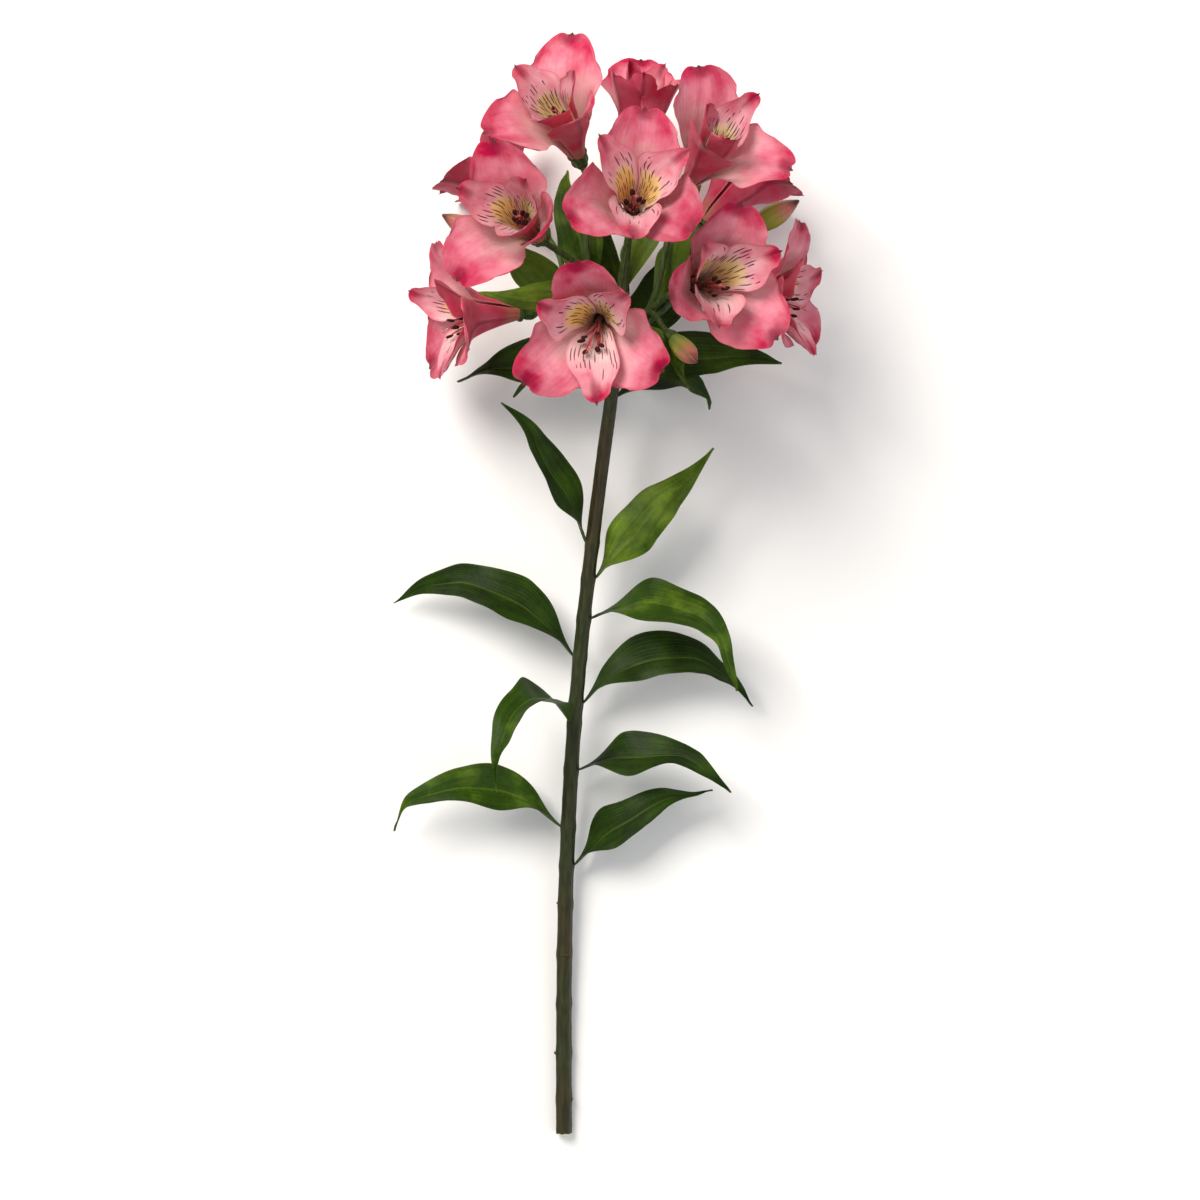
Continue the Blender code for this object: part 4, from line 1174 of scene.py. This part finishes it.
def buildStamens(number, bloom, walls, flares):
    base, axes, size = baseOf(bloom), axesOf(bloom), bloom["size"]
    openness = flares[180] / math.radians(tepalKinds["lower"]["flare"][1])
    droop = stamens["droop"] * openness
    spread = mix(*stamens["spread"], openness)
    last = stamens["points"] - 1
    strands, spots = [], []
    for count in range(7):
        around = math.radians(60 * count + 30)
        ring = stamens["ring"] if count < 6 else 0
        x, y = math.cos(around) * ring, math.sin(around) * ring
        tall = 1 - stamens["shorter"] * (count % 2) if count < 6 else stamens["styleReach"]
        top = stamens["reach"] * size * tall
        stops = [(x, y, stamens["foot"])]
        spreads = ((1, 1), (2, 2), (spread, spread + stamens["sideways"]))
        for (sag, high), (down, aside) in zip(stamens["path"], spreads):
            stops.append((x * down - droop * sag, y * aside, top * high))
        points = [swayed(pressed(point, walls, stamens["inset"]), base)
                  for point in curvePoints(*[base + axes @ Vector(stop) for stop in stops], last + 1)]
        thick, thin = (stamens["girth"] * share for share in stamens["thins"])
        girths = [mix(thick, thin, n / last) for n in range(last + 1)]
        strands.append((points, girths, [0] * len(points), 1.0))
        tangent = (points[-1] - points[-3]).normalized()
        if count < 6:
            down, aside = stamens["antherLean"]
            lean = axes @ Vector((down, aside * math.sin(around), 0.0))
            heading = (tangent * stamens["antherAlong"] + lean).normalized()
            spots.append((points[-1] + tangent * stamens["antherOn"], heading))
        else:
            for lobe in range(3):   # the style ends in three short lobes
                turn = lobe * stamens["stigmaTurn"]
                out = axes @ Vector((math.cos(turn), math.sin(turn), 0))
                onwards, bow = tangent * stamens["stigma"], out * stamens["stigmaOut"]
                lobePoints = [points[-1] + onwards * t + bow * t * t for t in (0, 0.3, 0.6, 1)]
                strands.append((lobePoints, stamens["stigmaGirths"], [0] * 4, 1.0))
    seated(f"stamens_{number}", f"bloom_{number}_stamens", [
        tubes(f"filaments{number}", strands, "filament", **stamens["skin"]),
        eggs(f"anthers{number}", spots, "anther", **stamens["anther"], seed=number),
    ])


for bloomNumber, bloomSpec in enumerate(blooms, 1):
    buildStamens(bloomNumber, bloomSpec, *buildBloom(bloomNumber, bloomSpec))
print("blooms grown:", len(blooms))


# Buds: three tepals wrapped round each other, with a raised rib down each and a seam where they overlap

budShape = dict(
    profile=((0, 0.72), (0.16, 0.90), (0.38, 1.0), (0.60, 0.92), (0.80, 0.62), (0.94, 0.30), (1, 0.10)),
    around=48, rows=44, turn=0.9, rib=0.10, ribWidth=0.11, seam=0.10, seamEnds=(0.16, 0.94),
    seamFrom=(0.05, 0.3), blur=(-0.05, -0.025, 0, 0.025, 0.05), tip=0.6,
)


def budGirth(share):
    stops = budShape["profile"]
    for (low, lowGirth), (high, highGirth) in zip(stops, stops[1:]):
        if share <= high:
            return mix(lowGirth, highGirth, (share - low) / (high - low))
    return stops[-1][1]


def buildBud(number, spec):
    base, axes = baseOf(spec), axesOf(spec)
    around, rows, blur = budShape["around"], budShape["rows"], budShape["blur"]
    seamEnd, seamStart = budShape["seamEnds"]
    points, values = [], dict(rib=[], along=[])
    for row in range(rows + 1):
        share = row / rows
        girth = sum(budGirth(min(1, max(0, share + shift))) for shift in blur) / len(blur)
        for step in range(around):
            turn = 2 * math.pi * step / around + budShape["turn"] * share
            third = (turn * 3 / (2 * math.pi)) % 1.0
            ribHere = hump(third - 0.5, budShape["ribWidth"])
            seamHere = smooth(0, seamEnd, third) * (1 - smooth(seamStart, 1.0, third))
            wide = girth * (1 + budShape["rib"] * ribHere * math.sin(math.pi * min(1, share * 1.05))
                            - budShape["seam"] * (1 - seamHere) * smooth(*budShape["seamFrom"], share))
            up = stem["solidGap"] + share * spec["length"]
            points.append(base + axes @ Vector((math.cos(turn) * wide * spec["radius"],
                                                math.sin(turn) * wide * spec["radius"], up)))
            values["rib"].append(ribHere)
            values["along"].append(share)
    faces = [(row * around + step, row * around + (step + 1) % around,
              (row + 1) * around + (step + 1) % around, (row + 1) * around + step)
             for row in range(rows) for step in range(around)]
    for end, height in ((0, 0.0), (rows, budShape["tip"])):
        points.append(base + axes @ Vector((0, 0, stem["solidGap"] + end / rows * spec["length"] + height)))
        values["rib"].append(0)
        values["along"].append(end / rows)
        for step in range(around):
            corner = (end * around + step, end * around + (step + 1) % around, len(points) - 1)
            faces.append(corner if end else tuple(reversed(corner)))
    made = meshWith(f"bud_shape_{number}", points, [], faces, values)
    made.data.shade_smooth()
    made.data.materials.append(finishes["bud"])
    seated(f"closed_bud_{number}", f"bud_{number}", [made])


for budNumber, budSpec in enumerate(buds, 1):
    buildBud(budNumber, budSpec)
print("buds shaped:", len(buds))


# Leaves of the stem and whorl, and the leafy bracts at the forks. Curl and bend, in degrees, and lopside
# and crease, in shares of the half width, are drawn for each leaf from its own seed.

leafShape = dict(
    petiole=1.3, tip=0.3, fuller=1.06, widest=0.38, sunk=0.2, thickness=0.55, columns=18, rows=72,
    ruffle=1.4, ruffleLength=16, veins=8.0, vein=0.04, midrib=0.4, curl=(-15, 45), curlFrom=0.70,
    bend=(-24, 24), bendFrom=0.60, lopside=0.13, crease=(0.2, 0.42), creaseSoft=0.012, creaseDrop=0.11,
    easedRise=0.6, sweepPower=1.5, twistUntil=0.34, waveFrom=(0.1, 0.4), waveTurns=7.5,
    waveFade=(1.2, 0.8), basePower=0.8, tipPower=1.5,
)
bractShape = dict(sweep=0, twist=0, wave=0.6)
bractSeat = dict(between=0.35, out=0.9)   # in the last third of the ray, and inside its skin


def leafHalfWidth(halfWidth, share):
    widest = leafShape["widest"]
    if share < widest:
        return mix(leafShape["petiole"], halfWidth, smooth(0, widest, share) ** leafShape["basePower"])
    power = leafShape["tipPower"]
    return mix(leafShape["tip"], halfWidth, (1 - ((share - widest) / (1 - widest)) ** power) ** power)


def leafSurface(start, axis, outward, spec, seed):
    first, last = (math.radians(degrees) for degrees in spec["rise"])
    sweep, twist = math.radians(spec["sweep"]), math.radians(spec["twist"])
    dice = random.Random(seed)
    curl = math.radians(dice.uniform(*leafShape["curl"]))
    bend = math.radians(dice.uniform(*leafShape["bend"]))
    lopside = dice.uniform(-leafShape["lopside"], leafShape["lopside"])
    crease = dice.uniform(*leafShape["crease"])
    eased = leafShape["easedRise"]

    def angleAt(share):
        rise = mix(first, last, smooth(0, 1, share) * eased + share * (1 - eased))
        return rise + curl * smooth(leafShape["curlFrom"], 1, share)

    def turnAt(share):
        aside = sweep * share ** leafShape["sweepPower"] + bend * smooth(leafShape["bendFrom"], 1, share)
        return aside, twist * smooth(0, leafShape["twistUntil"], share)

    stations = spine(start, axis, outward, angleAt, turnAt, spec["length"])

    def pointAt(across, share):
        place, _, side, face = stationAt(stations, share)
        halfWidth = leafHalfWidth(spec["halfWidth"] * leafShape["fuller"], share)
        if across > 0:
            halfWidth *= 1 + lopside
        rounded = math.sqrt(across * across + leafShape["creaseSoft"])
        fold = crease * halfWidth * (rounded - leafShape["creaseDrop"])
        ripple = spec["wave"] * across * abs(across)
        ripple *= math.sin(leafShape["waveTurns"] * share + spec["twist"])
        ripple *= smooth(*leafShape["waveFrom"], share)
        most, fade = leafShape["waveFade"]
        place = place + side * across * halfWidth + face * (fold + ripple * (most - fade * share))
        return swayed(pressed(place, [surfaceWall], 0), start)

    return pointAt


def buildLeaf(name, node, start, axis, outward, spec, tone, seed):
    surface = leafSurface(start, axis, outward, spec, seed)
    seated(name, node, [thinBlades(name, [(surface, tone)], leafShape, "leaf", seed)])


def leafOnStem(name, node, spec, tone, seed):
    share = spec["at"]
    along = stemTangent(min(share, 0.99))
    around = math.radians(spec["around"])
    outward = squareTo(along, Vector((math.cos(around), 0, math.sin(around))))
    start = stemPoint(share) + outward * (stemRadius(share) - leafShape["sunk"])
    buildLeaf(name, node, start, along, outward, spec, tone, seed)


def bractAtFork(name, node, spec, tone, seed):
    path = rayPath(spec["ray"], 4)
    along = (path[-1] - path[-2]).normalized()
    outward = squareTo(along, Vector(spec["side"]))
    start = mix(path[-2], path[-1], bractSeat["between"]) + outward * (rays["radius"] * bractSeat["out"])
    buildLeaf(name, node, start, along, outward, dict(spec, **bractShape), tone, seed)


# Each group: its piece, its node, what builds it, its table, its lowest and highest tone and its seed
leafDice = random.Random(7)
for pieceName, nodeName, build, specs, lowTone, highTone, groupSeed in (
    # the whorl leaves under the blooms keep to the darker tones: painted shade
    ("leaf_whorl", "whorl_leaf", leafOnStem, whorlLeaves, 0, 0.4, 0),
    ("leaf_stem", "stem_leaf", leafOnStem, stemLeaves, 0, 0.8, 20),
    ("leaf_bract", "bract", bractAtFork, bracts, 0.35, 0.95, 40),
):
    for leafNumber, leafSpec in enumerate(specs, 1):
        build(f"{pieceName}_{leafNumber}", f"{nodeName}_{leafNumber}", leafSpec,
              mix(lowTone, highTone, leafDice.random()), groupSeed + leafNumber)
print("leaves grown:", len(whorlLeaves) + len(stemLeaves) + len(bracts))
